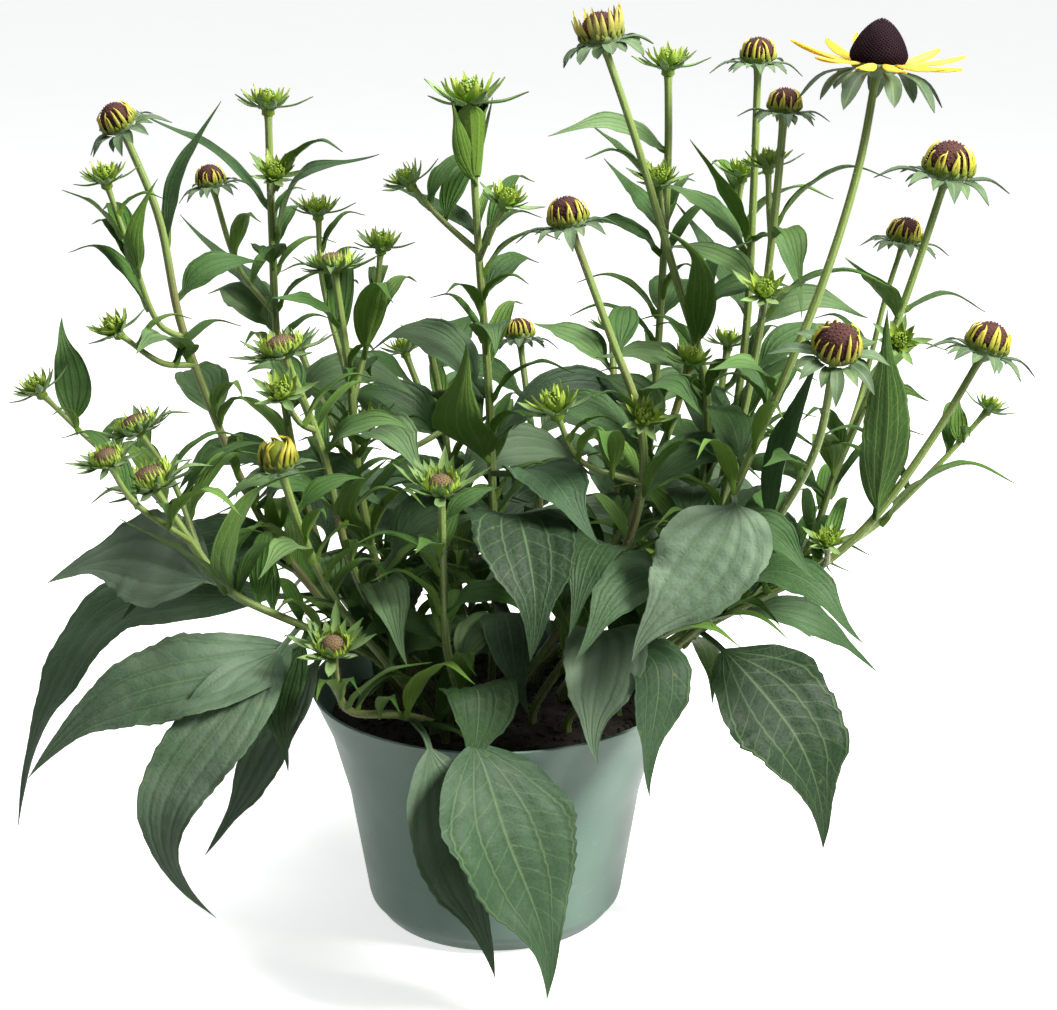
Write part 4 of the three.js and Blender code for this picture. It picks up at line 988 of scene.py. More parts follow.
def add_green_tuft(surface, head):
    """Pointed young scales and rays round a young or unopened disc, which belong to the shoot."""
    kind = head.kind
    opened = "high" in kind
    for ring in range(2 if opened else 3):
        for k in range(kind["rays"]):
            angle = 2 * math.pi * (k + 0.5 * ring + 0.6 * draw(k + 11 * head.number)) / kind["rays"]
            vary = draw(5 * k + head.number + 3 * ring)
            if opened:
                edge = kind["disc"] + 0.6
                height = 3.2 + kind["ray"] * (0.5 + 0.5 * vary) * (1 - 0.45 * ring)
                steps = [(edge - 2.2, -1.6), (edge + 1, 1.2), (edge + 1.2 + 0.9 * ring, 0.6 * height)]
                steps.append((edge + (1.2 + 2.4 * ring) * vary, height))
                wide = 2 * math.pi * (edge + 1) / kind["rays"] * 1.4
            else:
                edge = (kind["disc"] + 1.1) * (1 - 0.3 * ring)
                lean = math.radians(40 - 17 * ring) * (0.5 + vary)
                long = kind["ray"] * (1.15 + 0.75 * vary ** 2 - 0.18 * ring)
                tip = (edge + 0.8 * long * math.sin(lean), 2 + long * math.cos(lean))
                middle = ((edge + tip[0]) / 2 + 0.5, 1.6 + 0.5 * long * math.cos(lean))
                steps = [(edge - 1.2, 1.0), middle, tip]
                wide = 4.2 - 0.6 * ring
            aside = 1.4 * (vary - 0.5)
            rib = [head.around(angle, r, z, aside * i / len(steps)) for i, (r, z) in enumerate(steps)]
            part = 1 - 0.4 * ring if opened else 0.5 + 0.25 * ring
            add_strip(surface, head, rib, lambda s: wide * (1.02 - s ** 1.7), YOUNG_GREEN, 0.6, vary,
                      rows=7, columns=3, cup=0.35, level=head.around(angle, 0, 0, -1), part=part)


def add_green_core(surface, head):
    """The knob of tight green florets in an unopened head."""
    radius = head.kind["disc"] * 0.95

    def profile(s):
        return radius * (1 - s ** 2) ** 0.5, 3.0 + 4.4 * s

    add_florets(surface, head, profile, 44, 0.7, YOUNG_GREEN)


def add_florets(surface, head, profile, count, size, look, knob=0.7):
    """Florets over a dome, in golden-angle order from its rim to its top, each a small blunt knob."""
    sides = 5
    angles = 2 * np.pi * np.arange(sides) / sides
    rows = grid_faces(2, sides, closed=True)
    cap = [(sides + i, sides + (i + 1) % sides, 2 * sides) for i in range(sides)]
    heights = np.linspace(0, 1, 200)
    outline = np.array([profile(s) for s in heights])
    rings = np.linalg.norm(np.diff(outline, axis=0), axis=1) * (outline[1:, 0] + outline[:-1, 0])
    area = np.concatenate([[0], np.cumsum(rings)])
    places = np.interp((np.arange(count) + 0.5) / count * area[-1], area, heights)
    for k, s in enumerate(places):
        angle = GOLDEN_ANGLE * k
        radius, height = profile(s)
        ahead = np.array(profile(min(s + 0.01, 1))) - np.array(profile(max(s - 0.01, 0)))
        slope = unit(np.array([ahead[1], -ahead[0]]))
        out = np.array([math.cos(angle), math.sin(angle), 0])
        normal = unit(out * max(slope[0], 0) + UP * slope[1] if slope[1] > 0 else out)
        a = unit(np.cross(normal, UP + out * 0.01))
        b = np.cross(normal, a)
        centre = out * radius + UP * height
        grow = size * (1.05 - 0.35 * s)
        ring = centre + np.outer(np.cos(angles), a) * grow + np.outer(np.sin(angles), b) * grow
        ring = ring - normal * 0.3 * grow
        brow = centre + (ring - centre) * 0.62 + normal * knob * grow
        points = head.placed(np.vstack([ring, brow, centre + normal * (knob + 0.2) * grow]))
        for faces, top in ((rows, 0), (cap, 1)):
            surface.add(points, faces, look, np.full((len(points), 2), [s, top]), s, draw(k))


def add_dome(surface, head, profile, look, rows=10, sides=28):
    """The core that florets stand on."""
    points = []
    for s in np.linspace(0, 1, rows):
        radius, height = profile(s)
        points.append([(x, y, height) for x, y in circle(radius, sides)])
    faces = grid_faces(rows, sides, closed=True)
    surface.add(head.placed(np.array(points).reshape(-1, 3)), faces, look, age=0.4)


def disc_profile(head):
    """A disc's radius and height at shares of it from rim to top: a cone in the bloom, a dome in a bud."""
    kind = head.kind
    bloom = head.spec["kind"] == "bloom"
    power, blunt = (1.7, 0.66) if bloom else (2.2, 0.5)
    under = 0.2 if bloom else 0.16 if kind["high"] > YOUNG_HIGH else 0

    def profile(s):
        drawn_in = 1 - under * (1 - min(s / 0.25, 1)) ** 2
        radius = kind["disc"] * max(1 - s ** power, 0) ** blunt * drawn_in
        return radius, DISC_SEAT - 0.4 + (kind["high"] + 0.4) * s

    return profile


def disc_piece(head):
    """The disc of a head: a core that its florets cover."""
    surface = Surface()
    profile = disc_profile(head)
    add_dome(surface, head, profile, 0)
    if head.spec["kind"] == "bloom":
        add_florets(surface, head, profile, 900, 0.5, 0, 1)
        return surface
    disc, high = head.kind["disc"], head.kind["high"]
    dense, size = (4.6, 0.42) if high < YOUNG_HIGH else (2.8, 0.54)
    count = int(12 + dense * disc ** 2 * (0.6 + 0.4 * high / 9))
    add_florets(surface, head, profile, count, size, 0)
    return surface


def ray_steps(name, head, profile, vary, other):
    """The rib of a young ray, from its foot up, as radius, height and how far it leans aside."""
    disc = head.kind["disc"]
    tall = head.kind["ray"] * (0.72 + 0.36 * vary)
    if name == "half":
        tip = (disc + 1.4 + 2.2 * (other - 0.4), 3 + tall, 1.6 * (other - 0.5))
        return [(disc - 0.4, 2.4, 0), (disc + 1.7, 3 + 0.4 * tall, 0), tip]
    if name == "ball":
        turned = 5 * vary - 1
        steps = [(disc + 0.1, 2.8, 0), (disc + 0.8, 7, 0.8), (0.8 * disc, 11.4, turned)]
        return [*steps, (0.3 * disc + vary, 13.4 - vary, turned + 1)]
    top = 0.56 + 0.4 * other
    steps = [(disc + 0.2, 2.0, 0), (disc + 1, 3.6, 0.2)]
    curl = [(0.5 * top, 0.9, 0.5 * vary), (0.8 * top, 0.8 + 0.5 * vary, 1.6 * vary - 0.4)]
    for share, off, aside in [*curl, (top, 0.7, 4 * (vary - 0.4))]:
        radius, height = profile(share)
        steps.append((radius + off, height + 0.5 * off, aside))
    return steps


def ray_piece(head):
    """Young rays round a disc: upright in a half-open head, curled over its disc in a bud or a ball."""
    surface = Surface()
    name = head.spec["kind"]
    disc = head.kind["disc"]
    rays = head.kind["rays"]
    profile = disc_profile(head)
    for k in range(rays):
        vary, other = draw(17 * head.number + k), draw(23 * head.number + 5 * k)
        angle = 2 * math.pi * (k + 0.8 * vary) / rays
        steps = ray_steps(name, head, profile, vary, other)
        rib = [head.around(angle, r, z, aside) for r, z, aside in steps]
        wide = {"ball": 1.9, "half": 3.1}.get(name, 1.2 + 0.8 * other)
        add_strip(surface, head, rib, lambda s: wide * (1.03 - s ** 2) ** 0.8, 0, 0.5, vary,
                  rows=12, columns=3, cup=0.5, thick=0.3, level=head.around(angle, 0, 0, -1))
    # A ring of short green scales at the foot, from which the rays come.
    for k in range(SCALES):
        vary = draw(29 * head.number + k)
        angle = 2 * math.pi * (k + 0.5 * vary) / SCALES
        steps = [(disc - 0.8, 1.4), (disc + 1.1, 2.8), (disc + 1, 4.6 + 2.4 * vary)]
        rib = [head.around(angle, r, z) for r, z in steps]
        add_strip(surface, head, rib, lambda s: 3 * (1.03 - s ** 2), 0, 0.5, vary,
                  rows=6, columns=3, cup=0.4, level=head.around(angle, 0, 0, -1), part=0.1)
    if name == "ball":
        add_dome(surface, head, lambda s: (disc * 0.92 * max(1 - s ** 2, 0) ** 0.45, 3.0 + 9.4 * s), 0)
    return surface


def petal_piece(head):
    """Open petals on the part's own ribs: grooved, notched at the tip and a little twisted."""
    surface = Surface()
    outer = head.kind["disc"] + PETALS["collar"]
    for k in range(PETALS["count"]):
        vary = draw(13 * head.number + k)
        angle = 2 * math.pi * (k + 0.4 * vary) / PETALS["count"]
        dip = PETALS["most_dip"] + (PETALS["least_dip"] - PETALS["most_dip"]) * draw(5 * k + head.number)
        # Those in front lie flat, so that they show the viewer little of their face.
        front = max(-math.sin(angle), 0) ** 0.7
        dip = (dip - 8) * (1 - front) + 2 * front
        long = PETALS["long"] * (0.84 + 0.3 * vary)
        fall = long * math.tan(math.radians(dip))
        root = head.around(angle, outer - 1.2, 0.4)
        end = head.around(angle, long, -fall)
        middle = root + end / 2 - UP * 0.02 * long
        foot = root - head.around(angle, 2.6, 0)
        rib = Line([p + UP * DISC_SEAT for p in (foot, root, middle, root + end)])
        rng = np.random.default_rng(40 + k)
        rows, columns = 26, 11
        shares = np.linspace(0, 1, rows)
        t = rib.along(shares)
        along = rib.ways(t)
        twist = rng.uniform(-0.25, 0.25) * shares
        level = head.around(angle, 0, 0, -1)
        across = level * np.cos(twist)[:, None] + np.cross(along, level) * np.sin(twist)[:, None]
        face = np.cross(across, along)
        half = PETALS["wide"] / 2 * (0.84 + 0.16 * vary) * np.interp(shares, *PETAL_BREADTH)
        c = np.linspace(-1, 1, columns)
        grooves = 0.16 * np.cos(3 * np.pi * c)[None, :] * np.clip(shares * 4, 0, 1)[:, None]
        rise = grooves - 0.22 * half[:, None] * c[None, :] ** 2
        notches = 0.9 * np.clip(shares * 8 - 7, 0, 1)[:, None] * np.cos(1.5 * np.pi * c)[None, :] ** 2
        top = rib.at(t)[:, None] + across[:, None] * (c * half[:, None])[..., None]
        top = top + face[:, None] * rise[..., None] - along[:, None] * notches[..., None]
        places = np.stack(np.broadcast_arrays(c[None, :], shares[:, None]), -1)
        for points, flip in ((top, True), (top - face[:, None] * 0.35, False)):
            faces = grid_faces(rows, columns, turned=flip)
            surface.add(head.placed(points.reshape(-1, 3)), faces, 0, places, 0.5, vary)
    return surface


def add_sheath(surface, line, sheath):
    """Three young leaves wrapped round the top of a stem into a narrow funnel, with their tips free."""
    rows, columns = 26, 13
    s = np.linspace(0, 1, rows)
    c = np.linspace(-1, 1, columns)
    foot = line.on(sheath["from"])
    way = line.points[-1] - foot
    middle = foot + np.outer(s, way) * 1.04
    side = unit(np.cross(way, (0, 1, 0)))
    front = unit(np.cross(side, way))
    free = np.clip(5 * s - 4, 0, 1)
    for k in range(3):
        turn = 2 * math.pi * k / 3 + 0.5 + np.outer(1.15 * (1 - free ** 1.5), c)
        radius = sheath["foot"] + (sheath["mouth"] - sheath["foot"]) * s ** 0.8 + 0.3 * k + 1.6 * free ** 2
        rise = radius[:, None] * (1 + 0.05 * np.cos(5 * np.pi * c)[None, :]) + 0.25 * c[None, :] ** 2
        out = np.cos(turn)[..., None] * side + np.sin(turn)[..., None] * front
        places = np.stack(np.broadcast_arrays(c[None, :], s[:, None]), -1)
        for thick, look, flip in ((0.25, LEAF_UNDER, True), (0, LEAF_TOP, False)):
            points = middle[:, None] + out * (rise + thick)[..., None]
            surface.add(points, grid_faces(rows, columns, turned=flip), look, places, 0.9, 0.2 + 0.2 * k)


def add_head(surface, head):
    """The green of a head, which is its shoot's."""
    add_cup(surface, head)
    add_bracts(surface, head)
    if head.kind.get("high", 0) < YOUNG_HIGH:
        add_green_tuft(surface, head)
    if "high" not in head.kind:
        add_green_core(surface, head)


def srgb(r, g, b):
    """A linear colour from one read off a picture, 0 to 255."""
    parts = [c / 255 for c in (r, g, b)]
    return tuple(c / 12.92 if c <= 0.04045 else ((c + 0.055) / 1.055) ** 2.4 for c in parts) + (1.0,)


class Look:
    """A material being put together: its nodes, and short ways to add more.

    The shader's plain values are given by the names of its inputs, with _ for each space.
    """

    def __init__(self, name, roughness, **shader):
        self.material = bpy.data.materials.new(name)
        self.material.use_nodes = True
        self.nodes = self.material.node_tree.nodes
        self.links = self.material.node_tree.links
        self.shader = self.nodes["Principled BSDF"]
        self.shader.inputs["Roughness"].default_value = roughness
        for key, value in shader.items():
            self.shader.inputs[key.replace("_", " ")].default_value = value
        self.place = None

    def node(self, kind, **settings):
        made = self.nodes.new(kind)
        for key, value in settings.items():
            setattr(made, key, value)
        return made

    def feed(self, socket, value):
        if isinstance(value, bpy.types.NodeSocket):
            self.links.new(value, socket)
        else:
            socket.default_value = value

    def math(self, operation, a, b=0.0, c=0.0):
        made = self.node("ShaderNodeMath", operation=operation)
        for socket, value in zip(made.inputs, (a, b, c)):
            self.feed(socket, value)
        return made.outputs[0]

    def noise(self, scale, detail=2.0, rough=0.5, stretch=None):
        """Noise in the object's own space, in metres."""
        made = self.node("ShaderNodeTexNoise")
        made.inputs["Scale"].default_value = scale
        made.inputs["Detail"].default_value = detail
        made.inputs["Roughness"].default_value = rough
        self.links.new(self.vector(stretch), made.inputs["Vector"])
        return made.outputs["Fac"]

    def cells(self, scale, feature="DISTANCE_TO_EDGE", stretch=None):
        """Cells in the object's own space: how far off their edge is, or what feature says."""
        made = self.node("ShaderNodeTexVoronoi", feature=feature)
        made.inputs["Scale"].default_value = scale
        self.links.new(self.vector(stretch), made.inputs["Vector"])
        return made.outputs["Distance"]

    def vector(self, stretch):
        source = self.node("ShaderNodeTexCoord").outputs["Object"]
        if stretch is None:
            return source
        made = self.node("ShaderNodeMapping")
        made.inputs["Scale"].default_value = stretch
        self.links.new(source, made.inputs["Vector"])
        return made.outputs[0]

    def ramp(self, value, *stops):
        """A value turned into a colour, or a number, by stops of (place, what)."""
        made = self.node("ShaderNodeValToRGB")
        elements = made.color_ramp.elements
        while len(elements) < len(stops):
            elements.new(0.5)
        for element, (place, what) in zip(elements, stops):
            element.position = place
            element.color = what if isinstance(what, tuple) else (what, what, what, 1)
        self.feed(made.inputs[0], value)
        return made.outputs["Color"]

    def mix(self, share, a, b):
        made = self.node("ShaderNodeMix", data_type="RGBA")
        self.feed(made.inputs["Factor"], share)
        self.feed(made.inputs[6], a)
        self.feed(made.inputs[7], b)
        return made.outputs[2]

    def attribute(self, name):
        return self.node("ShaderNodeAttribute", attribute_name=name).outputs["Fac"]

    def blade(self):
        """A blade's own places: shares of its half width and of its length, then the first with a sign."""
        if self.place is None:
            split = self.node("ShaderNodeSeparateXYZ")
            self.links.new(self.node("ShaderNodeUVMap", uv_map="place").outputs[0], split.inputs[0])
            self.place = (self.math("ABSOLUTE", split.outputs[0]), split.outputs[1], split.outputs[0])
        return self.place

    def vein_lines(self, sharp):
        """1 on the long veins and the midrib of a leaf, falling to 0 off them."""
        across, along, _ = self.blade()
        nearest = self.math("MULTIPLY", across, 0.75)
        for reach, slow in VEINS:
            fallen = self.math("POWER", math.e, self.math("DIVIDE", along, -slow))
            place = self.math("MULTIPLY_ADD", fallen, -reach * (1 - VEIN_START), reach)
            place = self.math("MINIMUM", place, VEIN_END)
            off = self.math("ABSOLUTE", self.math("SUBTRACT", across, place))
            nearest = self.math("MINIMUM", nearest, off)
        return self.math("SUBTRACT", 1.0, self.math("MINIMUM", self.math("MULTIPLY", nearest, sharp), 1.0))

    def grooves(self, scale, distortion, detail=2.0):
        """Bands that run along a blade or a stem, from 0 to 1 across it."""
        made = self.node("ShaderNodeTexWave", wave_type="BANDS", bands_direction="X")
        made.inputs["Scale"].default_value = scale
        made.inputs["Distortion"].default_value = distortion
        made.inputs["Detail"].default_value = detail
        self.links.new(self.node("ShaderNodeUVMap", uv_map="place").outputs[0], made.inputs["Vector"])
        return made.outputs["Fac"]

    def bump(self, height, strength, distance):
        made = self.node("ShaderNodeBump")
        made.inputs["Strength"].default_value = strength
        made.inputs["Distance"].default_value = distance
        self.links.new(height, made.inputs["Height"])
        self.links.new(made.outputs[0], self.shader.inputs["Normal"])

    def colour(self, value):
        self.feed(self.shader.inputs["Base Color"], value)

    def rough(self, value):
        self.feed(self.shader.inputs["Roughness"], value)

    def glow_through(self, share, colour):
        """Light that comes through from behind, as in a leaf."""
        through = self.node("ShaderNodeBsdfTranslucent")
        self.feed(through.inputs["Color"], colour)
        both = self.node("ShaderNodeMixShader")
        both.inputs[0].default_value = share
        self.links.new(self.shader.outputs[0], both.inputs[1])
        self.links.new(through.outputs[0], both.inputs[2])
        self.links.new(both.outputs[0], self.nodes["Material Output"].inputs[0])


def leaf_look(name, top):
    """A leaf's face: dull blue-green over paler veins above, and yellower with raised veins below."""
    look = Look(name, 0.6, Sheen_Weight=0.06, Sheen_Roughness=0.5, Specular_IOR_Level=0.26)
    look.shader.inputs["Sheen Tint"].default_value = (0.86, 0.95, 0.84, 1)
    tint, age = look.attribute("tint"), look.attribute("age")
    patch = look.noise(38, 3)
    # A leaf's tone drives this ramp; for the leaves given one it is partly painted light and shade.
    shade = look.math("ADD", look.math("MULTIPLY", tint, 0.75), look.math("MULTIPLY", patch, 0.35))
    if top:
        stops = (0.15, 0.5, 0.95)
        old = look.ramp(shade, *zip(stops, (srgb(26, 48, 24), srgb(54, 82, 54), srgb(146, 166, 142))))
        young = look.ramp(shade, *zip(stops, (srgb(34, 66, 10), srgb(66, 108, 22), srgb(126, 164, 54))))
        vein = srgb(120, 150, 100)
    else:
        old = look.ramp(shade, (0.2, srgb(46, 80, 22)), (0.8, srgb(84, 118, 46)))
        young = look.ramp(shade, (0.2, srgb(66, 104, 18)), (0.8, srgb(118, 154, 50)))
        vein = srgb(146, 170, 90)
    body = look.mix(age, old, young)
    across, along, _ = look.blade()
    lines = look.vein_lines(34.0)
    groove = look.vein_lines(9.0)
    # Net veins bound small cells.
    mesh = look.cells(420)
    net = look.ramp(mesh, (0.0, 0.6), (0.12, 0.0))
    body = look.mix(look.math("MULTIPLY", net, 0.14), body, vein)
    # Painted shade: the top face darkens in the sunk grooves along its long veins, less so on pale leaves.
    if top:
        painted_groove_shade = look.math("MULTIPLY", groove, look.math("MULTIPLY_ADD", tint, -0.4, 0.62))
        body = look.mix(painted_groove_shade, body, srgb(26, 50, 22))
    midrib = look.ramp(across, (0.0, 0.5), (0.035, 0.0))
    plain = look.math("MULTIPLY_ADD", age, -0.34, 0.4) if top else 0.6
    pale = look.math("MAXIMUM", look.math("MULTIPLY", lines, plain), midrib)
    # Side veins slant from one long vein to the next, faint in young leaves.
    slant = look.math("MULTIPLY_ADD", across, -12.0, look.math("MULTIPLY", along, 76.0))
    slant = look.math("MULTIPLY_ADD", patch, 6.0, slant)
    side_veins = look.ramp(look.math("SINE", slant), (0.95, 0.0), (1.0, 1.0))
    faint = look.math("MULTIPLY", side_veins, look.math("MULTIPLY_ADD", age, -0.18, 0.2))
    body = look.mix(look.math("MAXIMUM", pale, faint), body, vein)
    spots = look.ramp(look.noise(240, 2), (0.68, 0.0), (0.76, 0.3))
    body = look.mix(spots, body, srgb(122, 122, 58))
    look.colour(body)
    look.rough(look.math("MULTIPLY_ADD", patch, 0.25, 0.46))
    pads = look.math("MULTIPLY", look.ramp(mesh, (0.0, 0.0), (0.3, 1.0)), 0.25)
    look.bump(look.math("MULTIPLY_ADD", groove, -1.2 if top else 0.6, pads), 0.5, 0.0006)
    look.glow_through(0.24, look.mix(0.5, body, srgb(126, 176, 30)))
    return look.material


def stem_look():
    """Stems: yellow-green with pale lengthwise lines, reddish here and there."""
    look = Look("stem", 0.55, Sheen_Weight=0.12)
    tint = look.attribute("tint")
    age = look.attribute("age")
    lines = look.grooves(2.2, 1.2)
    base = look.mix(age, srgb(56, 76, 22), srgb(104, 130, 44))
    body = look.mix(look.math("MULTIPLY", lines, 0.34), base, srgb(158, 170, 102))
    blush = look.math("MULTIPLY", look.noise(60, 3, stretch=(1, 1, 0.2)), look.math("ADD", tint, 0.2))
    red = look.ramp(blush, (0.46, 0.0), (0.62, 0.4))
    body = look.mix(red, body, srgb(96, 52, 40))
    look.colour(body)
    look.bump(look.noise(1500, 3, stretch=(1, 1, 0.15)), 0.4, 0.0004)
    return look.material


def bract_look():
    """Bracts: velvety grey-green, darker at their tips, yellower while young."""
    look = Look("bract", 0.6, Sheen_Weight=0.25, Sheen_Roughness=0.4)
    look.shader.inputs["Sheen Tint"].default_value = (0.9, 0.96, 0.86, 1)
    across, along, _ = look.blade()
    tint, age = look.attribute("tint"), look.attribute("age")
    patch = look.noise(160, 2)
    shade = look.math("ADD", look.math("MULTIPLY", tint, 0.4), look.math("MULTIPLY", patch, 0.6))
    old = look.ramp(shade, (0.2, srgb(40, 68, 38)), (0.8, srgb(88, 114, 78)))
    young = look.ramp(shade, (0.2, srgb(88, 126, 52)), (0.8, srgb(148, 178, 104)))
    body = look.mix(age, old, young)
    body = look.mix(look.ramp(along, (0.7, 0.0), (1.0, 0.5)), body, srgb(62, 84, 50))
    rib = look.ramp(across, (0.0, 0.3), (0.16, 0.0))
    body = look.mix(rib, body, srgb(160, 176, 118))
    look.colour(body)
    look.bump(look.noise(2600, 2, stretch=(1, 1, 0.5)), 0.5, 0.0004)
    look.glow_through(0.28, body)
    return look.material


def hair_look():
    """The short pale hairs of stems."""
    look = Look("hair", 0.5, Sheen_Weight=0.3)
    look.colour(look.ramp(look.noise(90, 1), (0.3, srgb(176, 184, 140)), (0.7, srgb(214, 218, 188))))
    look.glow_through(0.3, srgb(220, 224, 196))
    return look.material


def young_look(name, low, high):
    """Young scales and rays, green at their foot and yellow to pale at the tip."""
    look = Look(name, 0.5)
    _, along, _ = look.blade()
    tint = look.attribute("tint")
    body = look.ramp(look.math("ADD", along, look.math("MULTIPLY", tint, 0.2)), (0.0, low), (0.75, high))
    body = look.mix(look.ramp(look.noise(500, 2), (0.4, 0.0), (0.8, 0.35)), body, srgb(150, 128, 52))
    look.colour(body)
    look.bump(look.noise(1400, 2), 0.35, 0.0003)
    look.glow_through(0.32, body)
    return look.material


def petal_look():
    """Golden petals, deeper at their foot, with fine lengthwise grooves and pale patches."""
    look = Look("petal", 0.48, Sheen_Weight=0.2)
    _, along, _ = look.blade()
    ripe = look.math("ADD", along, look.math("MULTIPLY", look.attribute("tint"), 0.15))
    body = look.ramp(ripe, (0.0, srgb(206, 152, 8)), (0.3, srgb(220, 186, 12)), (1.0, srgb(226, 202, 28)))
    grooves = look.grooves(3.2, 1.5, 1.5)
    body = look.mix(look.math("MULTIPLY", grooves, 0.2), body, srgb(220, 176, 14))
    body = look.mix(look.ramp(look.noise(260, 3), (0.5, 0.0), (0.8, 0.3)), body, srgb(252, 232, 110))
    look.colour(body)
    look.bump(grooves, 0.5, 0.0005)
    look.glow_through(0.3, srgb(250, 212, 16))
    return look.material


def disc_look(name, green_foot):
    """Disc florets: near-black purple-brown knobs, or in a bud mauve-brown ones over an olive foot."""
    look = Look(name, 0.8, Specular_IOR_Level=0.12)
    age, tint = look.attribute("age"), look.attribute("tint")
    _, top, _ = look.blade()
    shade = look.math("ADD", age, look.math("MULTIPLY", tint, 0.2))
    if green_foot:
        low = [(0.0, srgb(64, 78, 18)), (0.35, srgb(64, 44, 30))]
        body = look.ramp(shade, *low, (0.6, srgb(70, 42, 42)), (1.0, srgb(84, 54, 56)))
    else:
        body = look.ramp(shade, (0.0, srgb(20, 6, 12)), (0.5, srgb(26, 10, 18)), (1.0, srgb(34, 16, 24)))
    tip = srgb(118, 84, 80) if green_foot else srgb(42, 20, 30)
    body = look.mix(look.math("MULTIPLY", top, look.math("MULTIPLY_ADD", tint, 0.35, 0.05)), body, tip)
    look.colour(body)
    look.bump(look.noise(2200, 2), 0.5, 0.0004)
    return look.material


def young_disc_look():
    """Flat young discs: green at the rim and dull mauve from there to the middle."""
    look = Look("young_disc", 0.7, Specular_IOR_Level=0.2)
    _, top, height = look.blade()
    shade = look.math("MULTIPLY", look.attribute("tint"), 0.4)
    shade = look.math("ADD", look.math("MULTIPLY", height, 0.7), shade)
    body = look.ramp(shade, (0.08, srgb(104, 112, 36)), (0.3, srgb(98, 52, 66)), (0.8, srgb(74, 34, 58)))
    body = look.mix(look.math("MULTIPLY", top, 0.3), body, srgb(122, 74, 98))
    look.colour(body)
    look.bump(look.noise(2200, 2), 0.5, 0.0004)
    return look.material


def pot_look():
    """Matt mint plastic: fine grain, faint scuffs, specks of soil and a dustier foot."""
    look = Look("pot_plastic", 0.42, Specular_IOR_Level=0.4)
    split = look.node("ShaderNodeSeparateXYZ")
    look.links.new(look.node("ShaderNodeTexCoord").outputs["Object"], split.inputs[0])
    cloud = look.noise(14, 4, 0.55)
    body = look.ramp(cloud, (0.25, srgb(98, 126, 112)), (0.7, srgb(116, 142, 128)))
    speck = look.ramp(look.noise(420, 3, 0.7), (0.66, 0.0), (0.7, 0.75))
    height = look.math("DIVIDE", split.outputs[2], POT_HEIGHT * MM)
    dust = look.ramp(height, (0.0, 0.55), (0.22, 0.14), (0.9, 0.1), (1.0, 0.45))
    body = look.mix(look.math("MULTIPLY", speck, dust), body, srgb(64, 52, 38))
    scuff = look.ramp(look.noise(60, 5, 0.7, stretch=(1, 1, 5)), (0.6, 0.0), (0.72, 0.3))
    body = look.mix(scuff, body, srgb(136, 162, 148))
    look.colour(body)
    look.rough(look.math("MULTIPLY_ADD", look.noise(36, 4), 0.3, 0.3))
    grain = look.math("MULTIPLY", look.noise(1800, 2), 0.6)
    look.bump(look.math("ADD", grain, look.math("MULTIPLY", speck, 0.5)), 0.25, 0.0003)
    return look.material


def soil_look():
    """Dark moist potting soil with browner crumbs and fibres."""
    look = Look("soil", 0.9)
    crumb = look.noise(260, 5, 0.7)
    body = look.ramp(crumb, (0.3, srgb(16, 13, 10)), (0.55, srgb(38, 29, 21)), (0.75, srgb(70, 54, 38)))
    fibre = look.ramp(look.cells(150, "F1", stretch=(1, 3, 1)), (0.0, 0.0), (0.08, 0.0), (1.0, 0.5))
    body = look.mix(look.math("MULTIPLY", fibre, 0.3), body, srgb(58, 44, 30))
    look.colour(body)
    look.bump(crumb, 0.8, 0.0015)
    return look.material


def floor_look():
    """A plain pale floor with a faint mottle."""
    look = Look("floor", 0.75, Emission_Color=(1, 1, 1, 1), Emission_Strength=0.68)
    look.colour(look.ramp(look.noise(9, 3), (0.3, (0.76, 0.76, 0.75, 1)), (0.7, (0.8, 0.8, 0.79, 1))))
    look.bump(look.noise(900, 2), 0.1, 0.0003)
    return look.material


def mesh_piece(name, points, faces, materials):
    """A smooth object of points in metres."""
    mesh = bpy.data.meshes.new(name)
    mesh.from_pydata([tuple(p) for p in points], [], [tuple(int(i) for i in f) for f in faces])
    mesh.validate()
    mesh.polygons.foreach_set("use_smooth", [True] * len(mesh.polygons))
    for material in materials:
        mesh.materials.append(material)
    piece = bpy.data.objects.new(name, mesh)
    bpy.context.scene.collection.objects.link(piece)
    return piece


def settle(piece, nodes):
    """A piece stands for its CAD nodes and rides on the body."""
    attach(piece, BODY)
    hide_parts(*nodes)


# How far, in mm, a leaf's tip may be from one in its CAD node for the two to be the same leaf.
TIP_REACH = 1.3


def matched(leaf, tips):
    """The leaf as the part bent it, found by the tip it has there, or none where the part left it out."""
    for turn, lift in BENDS:
        bent = leaf if turn == lift == 0 else leaf.bent(turn, lift)
        if tips.find(Vector(bent.points[-1]))[2] < TIP_REACH:
            return bent
    return None


def shoot_tips(name):
    """Where the CAD node's points are, in mm."""
    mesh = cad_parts[name].data
    tree = KDTree(len(mesh.vertices))
    for vertex in mesh.vertices:
        tree.insert(vertex.co * 1000, vertex.index)
    tree.balance()
    return tree


def specs_of(shoot, number, trunk):
    """The leaves of a trunk or side shoot, before they are bent."""
    leaves = [placed_leaf(trunk, spec, number + k) for k, spec in enumerate(shoot.get("leaves", []))]
    if "spiral" in shoot:
        leaves += spiral_leaves(trunk, shoot["spiral"], number)
    return leaves


def whole_crowd():
    """Points all over the plant's CAD solids, in mm."""
    points = []
    for name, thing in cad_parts.items():
        if name.startswith(("shoot", "bud", "bloom")):
            points += [vertex.co * 1000 for vertex in thing.data.vertices]
            points += [face.center * 1000 for face in thing.data.polygons]
    tree = KDTree(len(points))
    for k, point in enumerate(points):
        tree.insert(point, k)
    tree.balance()
    return tree


